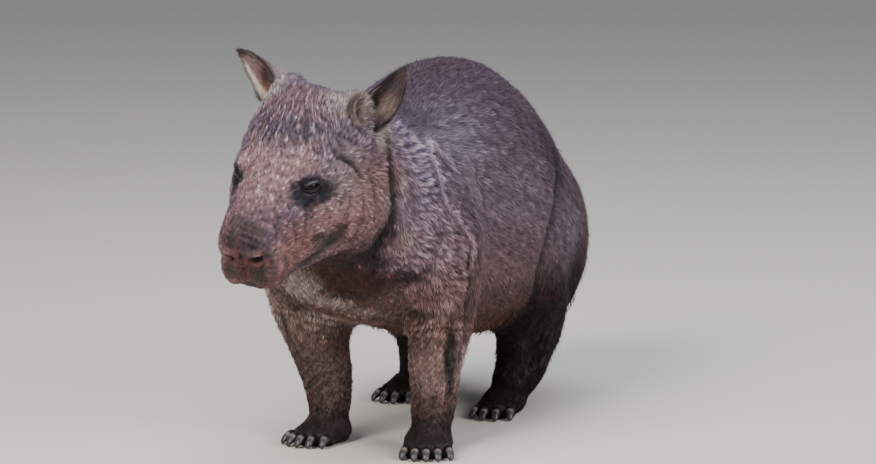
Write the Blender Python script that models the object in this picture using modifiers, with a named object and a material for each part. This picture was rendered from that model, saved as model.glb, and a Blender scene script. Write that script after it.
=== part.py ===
# A southern hairy-nosed wombat, life size, standing with its head turned a little to its right.
# Metres, +Z up. The animal faces -Y and its left side is +X. Its body is shaped whole, out to the tips of
# the coat, and then parted with thin cuts into the nodes that a person would name.

import math

import bmesh
import bpy
from mathutils import Matrix, Vector
from mathutils.bvhtree import BVHTree

# Driving dimensions
BACK_HEIGHT = 0.427  # floor to the top of the arched back
BODY_WIDTH = 0.280  # across the belly
TRUNK_LENGTH = 0.630  # breast to rump
TRUNK_FRONT = -0.130  # where the breast starts, ahead of the left forefoot
HEAD_LENGTH = 0.222  # nape to nose
HEAD_WIDTH = 0.176  # across the cheeks
EAR_LENGTH = 0.077  # root sunk in the head included
EAR_WIDTH = 0.036
EAR_WALL = 0.0035
EYE_RADIUS = 0.0095
LID_THICKNESS = 0.0026
EYE_OPENING = 0.0195  # corner to corner
CLAW_LENGTH = 0.0188
CLAW_RADIUS = 0.0049
TAIL_LENGTH = 0.036
GAP = 0.0003  # between touching nodes
FACE_COUNT = 6000  # triangles of the whole body before it is parted
FACE_FAVOUR = 0.0004  # how far the face and feet are favoured when those triangles are shared out

# Head pose: the nape's place, and how far the nose is turned down, to the right and rolled, in degrees
NAPE = Vector((-0.005, -0.123, 0.379))
HEAD_PITCH = 30.0
HEAD_TURN = 7.5
HEAD_ROLL = 4.0

# Finishes: name, colour, roughness
COAT = ("coat", (0.13, 0.11, 0.11), 0.85)
COAT_DARK = ("dark_coat", (0.03, 0.026, 0.024), 0.85)
COAT_PALE = ("pale_coat", (0.26, 0.21, 0.20), 0.85)
EAR_SKIN = ("ear", (0.16, 0.11, 0.10), 0.7)
EYE = ("eye", (0.008, 0.006, 0.006), 0.08)
CLAW = ("claw", (0.32, 0.28, 0.24), 0.45)

# Trunk: place along it, then its lowest, widest and highest lines as shares of the back's height, then its
# width as a share of the body's
TRUNK_STATIONS = (
    (0.00, 0.50, 0.62, 0.72, 0.30),
    (0.05, 0.40, 0.60, 0.83, 0.64),
    (0.12, 0.345, 0.58, 0.88, 0.80),
    (0.22, 0.32, 0.56, 0.91, 0.87),
    (0.34, 0.28, 0.53, 0.94, 0.90),
    (0.46, 0.225, 0.50, 0.98, 0.96),
    (0.60, 0.20, 0.46, 1.00, 1.00),
    (0.73, 0.225, 0.44, 0.95, 0.95),
    (0.84, 0.28, 0.43, 0.84, 0.84),
    (0.92, 0.35, 0.44, 0.715, 0.68),
    (0.975, 0.41, 0.49, 0.61, 0.42),
)
# Head: place along it, then its top, bottom, half width and widest line as shares of the head's width,
# then how full it is above that line, where 2 is an ellipse
HEAD_STATIONS = (
    (0.00, 0.34, -0.40, 0.36, 0.00, 2.6),
    (0.09, 0.41, -0.54, 0.400, -0.06, 2.5),
    (0.20, 0.41, -0.625, 0.435, -0.125, 2.15),
    (0.34, 0.355, -0.64, 0.462, -0.18, 1.88),
    (0.45, 0.29, -0.615, 0.437, -0.205, 1.8),
    (0.54, 0.24, -0.575, 0.370, -0.205, 1.8),
    (0.675, 0.195, -0.505, 0.297, -0.18, 1.9),
    (0.79, 0.165, -0.455, 0.246, -0.16, 2.1),
    (0.89, 0.13, -0.415, 0.225, -0.145, 2.3),
    (0.965, 0.075, -0.375, 0.195, -0.145, 2.4),
    (1.00, -0.015, -0.29, 0.12, -0.15, 2.2),
)
# Each leg: its joints from the body down as (left, back, up, radius), its foot's place, and how far the foot
# is turned to the animal's left, in degrees
LEGS = {
    "foreleg_left": (
        ((0.088, -0.005, 0.255, 0.050), (0.080, 0.020, 0.165, 0.040), (0.073, 0.012, 0.105, 0.034),
         (0.073, 0.003, 0.055, 0.0285), (0.074, -0.012, 0.026, 0.025)),
        (0.075, -0.020), 17.0,
    ),
    "foreleg_right": (
        ((-0.092, -0.005, 0.250, 0.052), (-0.090, 0.026, 0.165, 0.046), (-0.073, 0.030, 0.105, 0.037),
         (-0.062, 0.030, 0.055, 0.0285), (-0.058, 0.018, 0.026, 0.025)),
        (-0.060, 0.010), -15.0,
    ),
    "hindleg_left": (
        ((0.068, 0.380, 0.210, 0.058), (0.088, 0.285, 0.175, 0.050), (0.080, 0.310, 0.105, 0.046),
         (0.070, 0.306, 0.045, 0.032), (0.068, 0.264, 0.026, 0.023)),
        (0.068, 0.252), 4.0,
    ),
    "hindleg_right": (
        ((-0.068, 0.390, 0.210, 0.058), (-0.088, 0.320, 0.175, 0.050), (-0.080, 0.360, 0.105, 0.046),
         (-0.072, 0.366, 0.045, 0.032), (-0.070, 0.328, 0.026, 0.023)),
        (-0.070, 0.318), -6.0,
    ),
}
# Feet: number of toes, half the toe roots' spread, reach of the middle toe, pad's half sizes
FORE_FOOT = (5, 0.0220, 0.033, (0.029, 0.032, 0.020))
HIND_FOOT = (4, 0.0180, 0.046, (0.026, 0.048, 0.019))
TOE_SIZES = (0.0082, 0.017, 0.0125)
# Face, in head space: left of the middle, ahead of the nape, above the axis. The ears have their own places
# and directions on each side, 1 the left and -1 the right: their bow is how far the middle of an ear stands
# towards the crown off a line from its root to its tip.
EYE_PLACE = (0.0403, 0.1226, 0.0101)
EYE_AXIS = (0.78, 0.55, 0.30)
EYE_SLANT = -18.0  # how far the outer corner stands above the inner one, in degrees
MOUTH_LINE = ((0.0, 0.226, -0.064), (0.022, 0.214, -0.068), (0.038, 0.184, -0.068), (0.050, 0.152, -0.066),
              (0.060, 0.126, -0.060))
PHILTRUM = ((0.0, 0.230, -0.014), (0.0, 0.232, -0.036), (0.0, 0.228, -0.056))
NOSTRIL = ((0.0125, 0.231, -0.0215), (0.0195, 0.228, -0.0195), (0.0260, 0.221, -0.0150))
NOSTRIL_RADII = (0.0024, 0.0034, 0.0022)
EAR_ROOT = {1: (0.049, 0.017, 0.016), -1: (0.043, 0.014, 0.027)}
EAR_RISE = {1: (0.57, -0.76, 0.56), -1: (-0.84, -0.34, 0.62)}
EAR_BOW = {1: -0.0060, -1: 0.0045}
EAR_FACING = {1: (0.36, 0.84, 0.40), -1: (-0.42, 0.80, 0.40)}
# Cuts, in the body's frame: how high the legs and feet are parted from what is above them, and how far the
# legs' cuts keep from the middle
FORELEG_TOP = 0.155
HINDLEG_TOP = 0.130
HINDLEG_TILT = 28.0
FOOT_TOP = 0.042
LEG_INSIDE = 0.030


def clear_scene():
    for old in list(bpy.data.objects):
        bpy.data.objects.remove(old, do_unlink=True)


def new_collection(name):
    made = bpy.data.collections.new(name)
    bpy.context.scene.collection.children.link(made)
    return made


def finish(obj, settings):
    name, colour, roughness = settings
    made = bpy.data.materials.new(f"{obj.name}_{name}")
    made.use_nodes = True
    shader = made.node_tree.nodes["Principled BSDF"]
    shader.inputs["Base Color"].default_value = (*colour, 1.0)
    shader.inputs["Roughness"].default_value = roughness
    shader.inputs["Metallic"].default_value = 0.0
    obj.data.materials.clear()
    obj.data.materials.append(made)


def mesh_object(name, bm, collection):
    bmesh.ops.recalc_face_normals(bm, faces=bm.faces)
    mesh = bpy.data.meshes.new(name)
    bm.to_mesh(mesh)
    bm.free()
    made = bpy.data.objects.new(name, mesh)
    collection.objects.link(made)
    return made


def loft(name, rings, collection, smooth_levels=0):
    """A closed skin through rings of equally many points, with a face across each end."""
    bm = bmesh.new()
    rows = [[bm.verts.new(point) for point in ring] for ring in rings]
    count = len(rows[0])
    for row, following in zip(rows, rows[1:]):
        for i in range(count):
            j = (i + 1) % count
            bm.faces.new((row[i], row[j], following[j], following[i]))
    bm.faces.new(list(reversed(rows[0])))
    bm.faces.new(rows[-1])
    made = mesh_object(name, bm, collection)
    if smooth_levels:
        rounding = made.modifiers.new("rounding", "SUBSURF")
        rounding.levels = rounding.render_levels = smooth_levels
    return made


def oval_ring(along, top, bottom, half_width, widest, fullness, points=20):
    """One cross-section, as (across, along, up): a superellipse whose widest line can lie off its middle, as
    full above that line as the first of two numbers says and below it as the second does."""
    ring = []
    for i in range(points):
        angle = 2 * math.pi * i / points
        c = math.cos(angle)
        s = math.sin(angle)
        power = 2 / fullness[0 if s > 0 else 1]
        across = half_width * math.copysign(abs(c) ** power, c)
        reach = top - widest if s > 0 else widest - bottom
        up = widest + reach * math.copysign(abs(s) ** power, s)
        ring.append(Vector((across, along, up)))
    return ring


def ellipsoid(name, centre, radii, collection, turn=None, segments=20):
    bm = bmesh.new()
    bmesh.ops.create_uvsphere(bm, u_segments=segments, v_segments=segments // 2, radius=1.0)
    place = Matrix.Translation(centre) @ (turn.to_4x4() if turn else Matrix.Identity(4))
    bmesh.ops.transform(bm, matrix=place @ Matrix.Diagonal((*radii, 1.0)), verts=bm.verts)
    return mesh_object(name, bm, collection)


def block(name, place, sizes, collection):
    """A box of full sizes, centred on a matrix's place and turned with it. It only cuts."""
    bm = bmesh.new()
    bmesh.ops.create_cube(bm, size=1.0)
    bmesh.ops.transform(bm, matrix=place @ Matrix.Diagonal((*sizes, 1.0)), verts=bm.verts)
    return mesh_object(name, bm, collection)


def tapered_tube(name, points, collection, resolution=4):
    """A round tube through points given as (place, radius), with closed ends."""
    curve = bpy.data.curves.new(name, "CURVE")
    curve.dimensions = "3D"
    curve.bevel_depth = 1.0
    curve.bevel_resolution = resolution
    curve.resolution_u = 6
    curve.use_fill_caps = True
    spline = curve.splines.new("BEZIER")
    spline.bezier_points.add(len(points) - 1)
    for point, (place, radius) in zip(spline.bezier_points, points):
        point.co = place
        point.radius = radius
        point.handle_left_type = point.handle_right_type = "AUTO"
    made = bpy.data.objects.new(name, curve)
    collection.objects.link(made)
    return baked(made, collection, weld=0.00001)


def baked(obj, collection, weld=0.0):
    """A plain mesh copy of an object with its modifiers, in world space. The object is removed."""
    bpy.context.view_layer.update()
    depsgraph = bpy.context.evaluated_depsgraph_get()
    mesh = bpy.data.meshes.new_from_object(obj.evaluated_get(depsgraph))
    mesh.transform(obj.matrix_world)
    if weld:
        bm = bmesh.new()
        bm.from_mesh(mesh)
        bmesh.ops.remove_doubles(bm, verts=bm.verts, dist=weld)
        bmesh.ops.recalc_face_normals(bm, faces=bm.faces)
        bm.to_mesh(mesh)
        bm.free()
    name = obj.name
    bpy.data.objects.remove(obj, do_unlink=True)
    made = bpy.data.objects.new(name, mesh)
    collection.objects.link(made)
    return made


def merged(name, pieces, collection, voxel, smoothing):
    """Closed pieces that overlap, made one skin whose creases are smoothed out. The pieces are removed."""
    bm = bmesh.new()
    for piece in pieces:
        made = baked(piece, collection)
        bm.from_mesh(made.data)
        bpy.data.objects.remove(made, do_unlink=True)
    bmesh.ops.triangulate(bm, faces=bm.faces)
    mesh = bpy.data.meshes.new(name)
    bm.to_mesh(mesh)
    bm.free()
    made = bpy.data.objects.new(name, mesh)
    collection.objects.link(made)
    union = made.modifiers.new("union", "REMESH")
    union.mode = "VOXEL"
    union.voxel_size = voxel
    soften = made.modifiers.new("soften", "SMOOTH")
    soften.factor = 0.5
    soften.iterations = smoothing
    return baked(made, collection)


def largest_surface(obj):
    """Leaves only the object's largest closed surface."""
    bm = bmesh.new()
    bm.from_mesh(obj.data)
    bm.verts.ensure_lookup_table()
    seen = set()
    groups = []
    for start in bm.verts:
        if start in seen:
            continue
        seen.add(start)
        group = [start]
        for vert in group:
            for edge in vert.link_edges:
                other = edge.other_vert(vert)
                if other not in seen:
                    seen.add(other)
                    group.append(other)
        groups.append(group)
    groups.sort(key=len)
    for group in groups[:-1]:
        bmesh.ops.delete(bm, geom=group, context="VERTS")
    bmesh.ops.triangulate(bm, faces=bm.faces)
    bm.to_mesh(obj.data)
    bm.free()


def shaped(name, source, steps, collection):
    """A copy of a mesh after Booleans given as (operation, cutter), as one closed surface."""
    made = bpy.data.objects.new(name, source.data.copy())
    collection.objects.link(made)
    for operation, cutter in steps:
        step = made.modifiers.new(operation.lower(), "BOOLEAN")
        step.operation = operation
        step.solver = "EXACT"
        step.object = cutter
    made = baked(made, collection)
    largest_surface(made)
    return made


def swollen(obj, distance, collection):
    """A copy of a mesh moved outwards by a distance, as the cutter for what must stay clear of it."""
    made = bpy.data.objects.new(obj.name + "_swollen", obj.data.copy())
    collection.objects.link(made)
    normals = [vert.normal.copy() for vert in made.data.vertices]
    for vert, normal in zip(made.data.vertices, normals):
        vert.co += normal * distance
    return made


def head_matrix():
    """Head space to world. In it the nape is the origin, the nose lies along -Y and +X is the left side."""
    turn = Matrix.Rotation(math.radians(-HEAD_TURN), 4, "Z")
    pitch = Matrix.Rotation(math.radians(HEAD_PITCH), 4, "X")
    roll = Matrix.Rotation(math.radians(HEAD_ROLL), 4, "Y")
    return Matrix.Translation(NAPE) @ turn @ pitch @ roll


def in_head(left, ahead, up):
    """A place in the head: left of its middle, ahead of the nape and above its axis."""
    return head_matrix() @ Vector((left, -ahead, up))


def head_turn():
    return head_matrix().to_3x3()


def trunk(collection):
    rings = []
    for along, low, middle, high, wide in TRUNK_STATIONS:
        place = TRUNK_FRONT + along * TRUNK_LENGTH
        heights = [share * BACK_HEIGHT for share in (high, low)]
        rings.append(oval_ring(place, *heights, wide * BODY_WIDTH / 2, middle * BACK_HEIGHT, (1.95, 2.3)))
    return loft("trunk", rings, collection, smooth_levels=1)


def skull(collection):
    rings = []
    for along, *shares, fullness in HEAD_STATIONS:
        sizes = [share * HEAD_WIDTH for share in shares]
        ring = oval_ring(-along * HEAD_LENGTH, *sizes, (fullness, 2.3))
        rings.append([head_matrix() @ point for point in ring])
    return loft("skull", rings, collection, smooth_levels=1)


def neck_core(collection):
    joints = (
        (Vector((0.0, 0.03, 0.272)), 0.112),
        (Vector((0.0, -0.06, 0.294)), 0.106),
        (Vector((-0.003, -0.120, 0.329)), 0.087),
        (Vector((-0.008, -0.160, 0.352)), 0.072),
    )
    return tapered_tube("neck_core", joints, collection)


def leg_bulk(name, collection):
    """A leg's tapered bones and flesh, with the shoulder or thigh that it swells from."""
    joints = [(Vector(joint[:3]), joint[3]) for joint in LEGS[name][0]]
    top = joints[0][0]
    if name.startswith("fore"):
        mass = ellipsoid("shoulder", top, (0.036, 0.072, 0.105), collection)
    else:
        mass = ellipsoid("thigh", top + Vector((0, 0.002, -0.022)), (0.057, 0.092, 0.105), collection)
    return [tapered_tube("bones", joints, collection), mass]


def foot_frame(name):
    """Foot space to world: the floor under the foot is the origin and the toes lie along -Y."""
    left, back = LEGS[name][1]
    heading = LEGS[name][2]
    return Matrix.Translation((left, back, 0.0)) @ Matrix.Rotation(math.radians(heading), 4, "Z")


def foot_kind(name):
    return FORE_FOOT if name.startswith("fore") else HIND_FOOT


def toe_frames(name):
    """Each toe's root on the floor, to world, fanned across the foot with the middle one furthest ahead."""
    count, spread, reach, _ = foot_kind(name)
    frames = []
    for i in range(count):
        share = -1 + 2 * i / (count - 1)
        place = Matrix.Translation((share * spread, -reach + 0.010 * share * share, 0.0))
        frames.append(foot_frame(name) @ place @ Matrix.Rotation(math.radians(14.0 * share), 4, "Z"))
    return frames


def foot_bulk(name, collection):
    pad_sizes = foot_kind(name)[3]
    frame = foot_frame(name)
    pad = ellipsoid("pad", frame @ Vector((0, 0.004, 0.013)), pad_sizes, collection, frame.to_3x3())
    pieces = [pad]
    for toe in toe_frames(name):
        centre = toe @ Vector((0, 0.006, 0.0085))
        pieces.append(ellipsoid("toe", centre, TOE_SIZES, collection, toe.to_3x3(), 12))
    return pieces


def face_forms(collection):
    """Brows, cheeks, nose, upper lips, chin and the mounds at the ears, swelling out of the skull."""
    forms = [
        ((0, 0.206, -0.008), (0.026, 0.018, 0.022)),
        ((0, 0.178, -0.066), (0.023, 0.032, 0.014)),
        ((0.050, 0.014, 0.033), (0.021, 0.023, 0.026)),
        ((-0.028, 0.012, 0.045), (0.023, 0.023, 0.026)),
    ]
    for side in (-1, 1):
        forms += [
            ((side * 0.040, 0.104, 0.016), (0.017, 0.030, 0.017)),
            ((side * 0.056, 0.072, -0.050), (0.031, 0.048, 0.050)),
            ((side * 0.017, 0.200, -0.044), (0.021, 0.024, 0.024)),
            ((side * 0.018, 0.209, -0.010), (0.014, 0.014, 0.015)),
        ]
    return [ellipsoid("face", in_head(*place), radii, collection, head_turn(), 16) for place, radii in forms]


def whole_body(collection):
    """The animal but for its ears, eyes, claws and tail, as one closed skin cut flat at the floor."""
    bulk = [trunk(collection), skull(collection), neck_core(collection)]
    for name in LEGS:
        bulk += leg_bulk(name, collection)
    fine = [merged("rough", bulk, collection, 0.006, 16)]
    fine += face_forms(collection)
    for name in LEGS:
        fine += foot_bulk(name, collection)
    body = merged("body", fine, collection, 0.0035, 5)
    to_head = head_matrix().inverted()
    plain = body.vertex_groups.new(name="where_faces_may_be_large")
    for vert in body.data.vertices:
        on_face = (to_head @ vert.co).y < -0.04
        plain.add([vert.index], 0.1 if on_face or vert.co.z < FOOT_TOP else 1.0, "REPLACE")
    thinning = body.modifiers.new("thinning", "DECIMATE")
    thinning.vertex_group = plain.name
    thinning.vertex_group_factor = FACE_FAVOUR
    thinning.ratio = FACE_COUNT / sum(len(face.vertices) - 2 for face in body.data.polygons)
    body = baked(body, collection)
    floor = block("floor", Matrix.Translation((0, 0.1, -0.05)), (1.0, 1.6, 0.1), collection)
    return shaped("body", body, [("DIFFERENCE", floor)], collection)


def ear(name, side, clear_body, collection):
    """A cupped leaf: nearly a tube at its root, open to the front, that flattens and ends in a point."""
    lengthways = 9
    crossways = 8
    bm = bmesh.new()
    grid = []
    for i in range(lengthways + 1):
        t = i / lengthways
        width = EAR_WIDTH / 2 * (1 - t ** 2.4) ** 0.8 * (0.96 + 0.14 * t) + 0.0012
        bow = side * EAR_BOW[side] * 4 * t * (1 - t)
        curl = math.radians(125 - 60 * t)
        radius = width / math.sin(min(curl, math.pi / 2))
        row = []
        for j in range(crossways + 1):
            turn = (-1 + 2 * j / crossways) * curl
            back = 0.80 * radius * (math.cos(turn) - 0.3 * math.cos(curl)) + 0.008 * t * t
            row.append(bm.verts.new((bow + radius * math.sin(turn), back, t * EAR_LENGTH)))
        grid.append(row)
    for row, following in zip(grid, grid[1:]):
        for j in range(crossways):
            bm.faces.new((row[j], row[j + 1], following[j + 1], following[j]))
    made = mesh_object(name, bm, collection)
    wall = made.modifiers.new("wall", "SOLIDIFY")
    wall.thickness = EAR_WALL
    wall.offset = 0.0
    rise = Vector((EAR_RISE[side][0], -EAR_RISE[side][1], EAR_RISE[side][2])).normalized()
    facing = Vector((EAR_FACING[side][0], -EAR_FACING[side][1], EAR_FACING[side][2]))
    facing = (facing - rise * facing.dot(rise)).normalized()
    turn = Matrix((facing.cross(rise), -facing, rise)).transposed()
    left, ahead, up = EAR_ROOT[side]
    root = Matrix.Translation((side * left, -ahead, up))
    made.matrix_world = head_matrix() @ root @ turn.to_4x4()
    made = baked(made, collection)
    return shaped(name, made, [("DIFFERENCE", clear_body)], collection)


def claw(name, toe, clear_body, collection):
    """A blunt digging claw that curves down from the toe's end and just clears the floor."""
    sides = 6
    steps = 4
    rings = []
    for i in range(steps + 1):
        t = i / steps
        radius = CLAW_RADIUS * (1 - 0.76 * t ** 2.8)
        ahead = CLAW_LENGTH * (t - 0.12 * t * t)
        up = 0.0105 - 0.0085 * t * t
        ring = []
        for k in range(sides):
            angle = 2 * math.pi * k / sides
            across = 0.85 * radius * math.cos(angle)
            ring.append(toe @ Vector((across, -0.006 - ahead, up + radius * math.sin(angle))))
        rings.append(ring)
    made = loft(name, rings, collection)
    return shaped(name, made, [("DIFFERENCE", clear_body)], collection)


def tail(clear_body, collection):
    """The short tail, bent down against the rump."""
    joints = (
        (Vector((0, 0.468, 0.235)), 0.014),
        (Vector((0, 0.488, 0.222)), 0.0125),
        (Vector((0, 0.490, 0.222 - TAIL_LENGTH * 0.70)), 0.007),
    )
    made = tapered_tube("tail_core", joints, collection, resolution=2)
    return shaped("tail", made, [("DIFFERENCE", clear_body)], collection)


def eye_matrix(side):
    """Eye space to world: the eye looks along +Z and the line between its corners is X."""
    look = Vector((side * EYE_AXIS[0], -EYE_AXIS[1], EYE_AXIS[2])).normalized()
    outwards = Vector((0, 1, 0))
    outwards = (outwards - look * outwards.dot(look)).normalized()
    upwards = look.cross(outwards) * side
    slant = math.radians(EYE_SLANT)
    corners = (outwards * math.cos(slant) + upwards * math.sin(slant)).normalized()
    turn = Matrix((corners, look.cross(corners), look)).transposed().to_4x4()
    place = Matrix.Translation((side * EYE_PLACE[0], -EYE_PLACE[1], EYE_PLACE[2]))
    return head_matrix() @ place @ turn


def ball(name, place, radii, collection, segments=14):
    return ellipsoid(name, place.translation, radii, collection, place.to_3x3(), segments)


def on_surface(tree, place, depth=0.0):
    """The nearest point of the head to a place in head space, moved inwards by a depth."""
    point, normal, _, _ = tree.find_nearest(in_head(*place))
    return point - normal * depth


def head_details(head, collection):
    """The Booleans that give the head its lids, nostrils, philtrum and the line of its mouth."""
    bm = bmesh.new()
    bm.from_mesh(head.data)
    tree = BVHTree.FromBMesh(bm)
    bm.free()
    steps = []
    for side in (-1, 1):
        eye = eye_matrix(side)
        lid = EYE_RADIUS + LID_THICKNESS
        steps.append(("UNION", ball("lids", eye, (lid, lid, lid), collection, 16)))
    for side in (-1, 1):
        eye = eye_matrix(side)
        room = EYE_RADIUS + GAP
        steps.append(("DIFFERENCE", ball("socket", eye, (room, room, room), collection)))
        opening = eye @ Matrix.Translation((0, 0, EYE_RADIUS))
        half_sizes = (EYE_OPENING / 2, EYE_OPENING * 0.27, 0.006)
        steps.append(("DIFFERENCE", ball("slit", opening, half_sizes, collection)))
        places = [(side * left, ahead, up) for left, ahead, up in NOSTRIL]
        points = [(on_surface(tree, place, 0.001), r) for place, r in zip(places, NOSTRIL_RADII)]
        steps.append(("DIFFERENCE", tapered_tube("nostril", points, collection, resolution=1)))
    lips = [(-left, ahead, up) for left, ahead, up in reversed(MOUTH_LINE[1:])] + list(MOUTH_LINE)
    points = [(on_surface(tree, place), 0.0021) for place in lips]
    steps.append(("DIFFERENCE", tapered_tube("mouth", points, collection, resolution=1)))
    points = [(on_surface(tree, place), 0.0014) for place in PHILTRUM]
    steps.append(("DIFFERENCE", tapered_tube("philtrum", points, collection, resolution=1)))
    return steps


def cutting_boxes(collection, grow):
    """The regions that part the body, each grown by what keeps its neighbour clear of it."""
    long_side = 0.6 + 2 * grow
    boxes = {}
    throat = head_matrix() @ Matrix.Translation((0, -0.004, -0.035))
    place = throat @ Matrix.Rotation(math.radians(-17), 4, "X") @ Matrix.Translation((0, -0.3, 0))
    boxes["head"] = block("head_box", place, (long_side, long_side, long_side), collection)
    shoulders = Matrix.Translation((0, -0.065, 0.295))
    place = shoulders @ Matrix.Rotation(math.radians(-25.5), 4, "X") @ Matrix.Translation((0, -0.3, 0))
    boxes["neck"] = block("neck_box", place, (long_side, long_side, long_side), collection)
    for name in LEGS:
        side = 1 if name.endswith("left") else -1
        across = side * (LEG_INSIDE + 0.15)
        if name.startswith("fore"):
            place = Matrix.Translation((across, -0.05, FORELEG_TOP - 0.15))
            sizes = (0.3 + 2 * grow, 0.27 + 2 * grow, 0.3 + 2 * grow)
        else:
            stifle = Matrix.Translation((across, 0.300, HINDLEG_TOP))
            stifle = stifle @ Matrix.Rotation(math.radians(HINDLEG_TILT), 4, "X")
            place = stifle @ Matrix.Translation((0, 0.05, -0.15))
            sizes = (0.3 + 2 * grow, 0.42 + 2 * grow, 0.3 + 2 * grow)
        boxes[name] = block(name + "_box", place, sizes, collection)
        heel = foot_frame(name).translation
        place = Matrix.Translation((heel.x, heel.y, FOOT_TOP - 0.15))
        sizes = (0.13, 0.24, 0.3 + 2 * grow)
        boxes[name.replace("leg", "foot")] = block(name + "_foot_box", place, sizes, collection)
    return boxes


def parted_body(body, collection):
    """The body's nodes, each cut out of the whole."""
    inside = cutting_boxes(collection, 0.0)
    outside = cutting_boxes(collection, GAP)
    nodes = {}
    head = shaped("head", body, [("INTERSECT", inside["head"])], collection)
    nodes["head"] = shaped("head", head, head_details(head, collection), collection)
    steps = [("INTERSECT", inside["neck"]), ("DIFFERENCE", outside["head"])]
    nodes["neck"] = shaped("neck", body, steps, collection)
    steps = [("DIFFERENCE", outside[name]) for name in ("neck", "head", *LEGS)]
    nodes["torso"] = shaped("torso", body, steps, collection)
    for name in LEGS:
        foot = name.replace("leg", "foot")
        steps = [("INTERSECT", inside[name]), ("DIFFERENCE", outside[foot])]
        nodes[name] = shaped(name, body, steps, collection)
        nodes[foot] = shaped(foot, body, [("INTERSECT", inside[foot])], collection)
    bpy.data.objects.remove(head, do_unlink=True)
    return nodes


def placed(nodes, collection):
    """Gives each node its own origin and stands them all on an empty, with the footprint centred."""
    corners = [obj.matrix_world @ Vector(corner) for obj in nodes for corner in obj.bound_box]
    low = Vector([min(corner[axis] for corner in corners) for axis in range(3)])
    high = Vector([max(corner[axis] for corner in corners) for axis in range(3)])
    stance = bpy.data.objects.new("stance", None)
    collection.objects.link(stance)
    stance.location = (-(low.x + high.x) / 2, -(low.y + high.y) / 2, -low.z)
    for obj in nodes:
        middle = sum((Vector(corner) for corner in obj.bound_box), Vector()) / 8
        obj.data.transform(Matrix.Translation(-middle))
        obj.location = middle
        obj.parent = stance


def main():
    clear_scene()
    shaping = new_collection("shaping")
    wombat = new_collection("wombat")
    body = whole_body(shaping)
    clear = swollen(body, GAP, shaping)
    nodes = parted_body(body, shaping)
    for name, made in nodes.items():
        dark = "foot" in name or name.startswith("hindleg")
        finish(made, COAT_DARK if dark else COAT_PALE if name == "head" else COAT)
    for word, side in (("left", 1), ("right", -1)):
        nodes["ear_" + word] = ear("ear_" + word, side, clear, shaping)
        finish(nodes["ear_" + word], EAR_SKIN)
        radii = (EYE_RADIUS, EYE_RADIUS, EYE_RADIUS)
        nodes["eye_" + word] = ball("eye_" + word, eye_matrix(side), radii, shaping)
        finish(nodes["eye_" + word], EYE)
    nodes["tail"] = tail(clear, shaping)
    finish(nodes["tail"], COAT)
    for name in LEGS:
        for number, toe in enumerate(toe_frames(name), 1):
            label = "claw_" + name.replace("leg", "foot") + f"_{number}"
            nodes[label] = claw(label, toe, clear, shaping)
            finish(nodes[label], CLAW)
    for made in nodes.values():
        wombat.objects.link(made)
        shaping.objects.unlink(made)
        made.data.shade_smooth()
    for cutter in list(shaping.objects):
        bpy.data.objects.remove(cutter, do_unlink=True)
    for name, made in nodes.items():
        made.name = name
    placed(list(nodes.values()), wombat)


main()
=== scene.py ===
# Looks of a standing southern hairy-nosed wombat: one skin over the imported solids, a coat of solid tufts laid
# along it, and the ears, eyes, lids, whiskers and claws as pieces of their own.

import math
import time

import bmesh
import bpy
import numpy as np
from mathutils import Matrix, Vector, kdtree
from mathutils.bvhtree import BVHTree


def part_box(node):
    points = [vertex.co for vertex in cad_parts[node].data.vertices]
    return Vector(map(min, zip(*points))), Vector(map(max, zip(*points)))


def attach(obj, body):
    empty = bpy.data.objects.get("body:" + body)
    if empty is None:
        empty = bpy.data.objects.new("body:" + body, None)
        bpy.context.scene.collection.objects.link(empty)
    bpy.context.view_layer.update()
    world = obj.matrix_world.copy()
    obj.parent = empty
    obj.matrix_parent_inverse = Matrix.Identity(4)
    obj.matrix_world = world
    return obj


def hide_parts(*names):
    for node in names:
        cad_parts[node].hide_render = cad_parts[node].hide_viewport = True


startTime = time.time()


def report(words):
    print(f"wombat: {words} ({time.time() - startTime:.0f} s)")


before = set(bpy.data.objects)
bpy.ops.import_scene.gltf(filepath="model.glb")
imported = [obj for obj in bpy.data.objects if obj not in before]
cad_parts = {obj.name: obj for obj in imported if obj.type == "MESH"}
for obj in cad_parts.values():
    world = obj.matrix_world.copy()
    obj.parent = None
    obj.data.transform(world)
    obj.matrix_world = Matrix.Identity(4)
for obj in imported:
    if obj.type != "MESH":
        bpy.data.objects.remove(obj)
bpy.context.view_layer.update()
random = np.random.default_rng(7)
report("frame loaded")


# Small tools


def linear(hexColour):
    values = [int(hexColour[i:i + 2], 16) / 255 for i in (0, 2, 4)]
    return np.array([v / 12.92 if v <= 0.04045 else ((v + 0.055) / 1.055) ** 2.4 for v in values])


def addNode(tree, kind, settings=None, links=None):
    made = tree.nodes.new(kind)
    for name, value in (settings or {}).items():
        if name in made.inputs:
            made.inputs[name].default_value = value
        else:
            setattr(made, name, value)
    for name, source in (links or {}).items():
        tree.links.new(source, made.inputs[name])
    return made


def newMaterial(name):
    made = bpy.data.materials.new(name)
    made.use_nodes = True
    made.node_tree.nodes.clear()
    return made, made.node_tree


def unit(vectors):
    return vectors / np.maximum(np.linalg.norm(vectors, axis=-1, keepdims=True), 1e-9)


def ramp(values, low, high):
    t = np.clip((values - low) / (high - low), 0, 1)
    return t * t * (3 - 2 * t)


def moved(matrix, points):
    array = np.array(matrix)
    return points @ array[:3, :3].T + array[:3, 3]


def ripple(points, size, seed):
    # a smooth wandering value, about -1 to 1, that changes over the given size
    waves = np.random.default_rng(seed)
    total = np.zeros(len(points))
    for k in range(5):
        along = unit(waves.normal(size=3)) * 2 * math.pi / (size * waves.uniform(0.7, 1.6))
        total += np.sin(points @ along + waves.uniform(0, 6.3))
    return total / 2.6


def vertexArray(mesh):
    points = np.zeros(len(mesh.vertices) * 3, np.float32)
    mesh.vertices.foreach_get("co", points)
    return points.reshape(-1, 3).astype(float)


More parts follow.
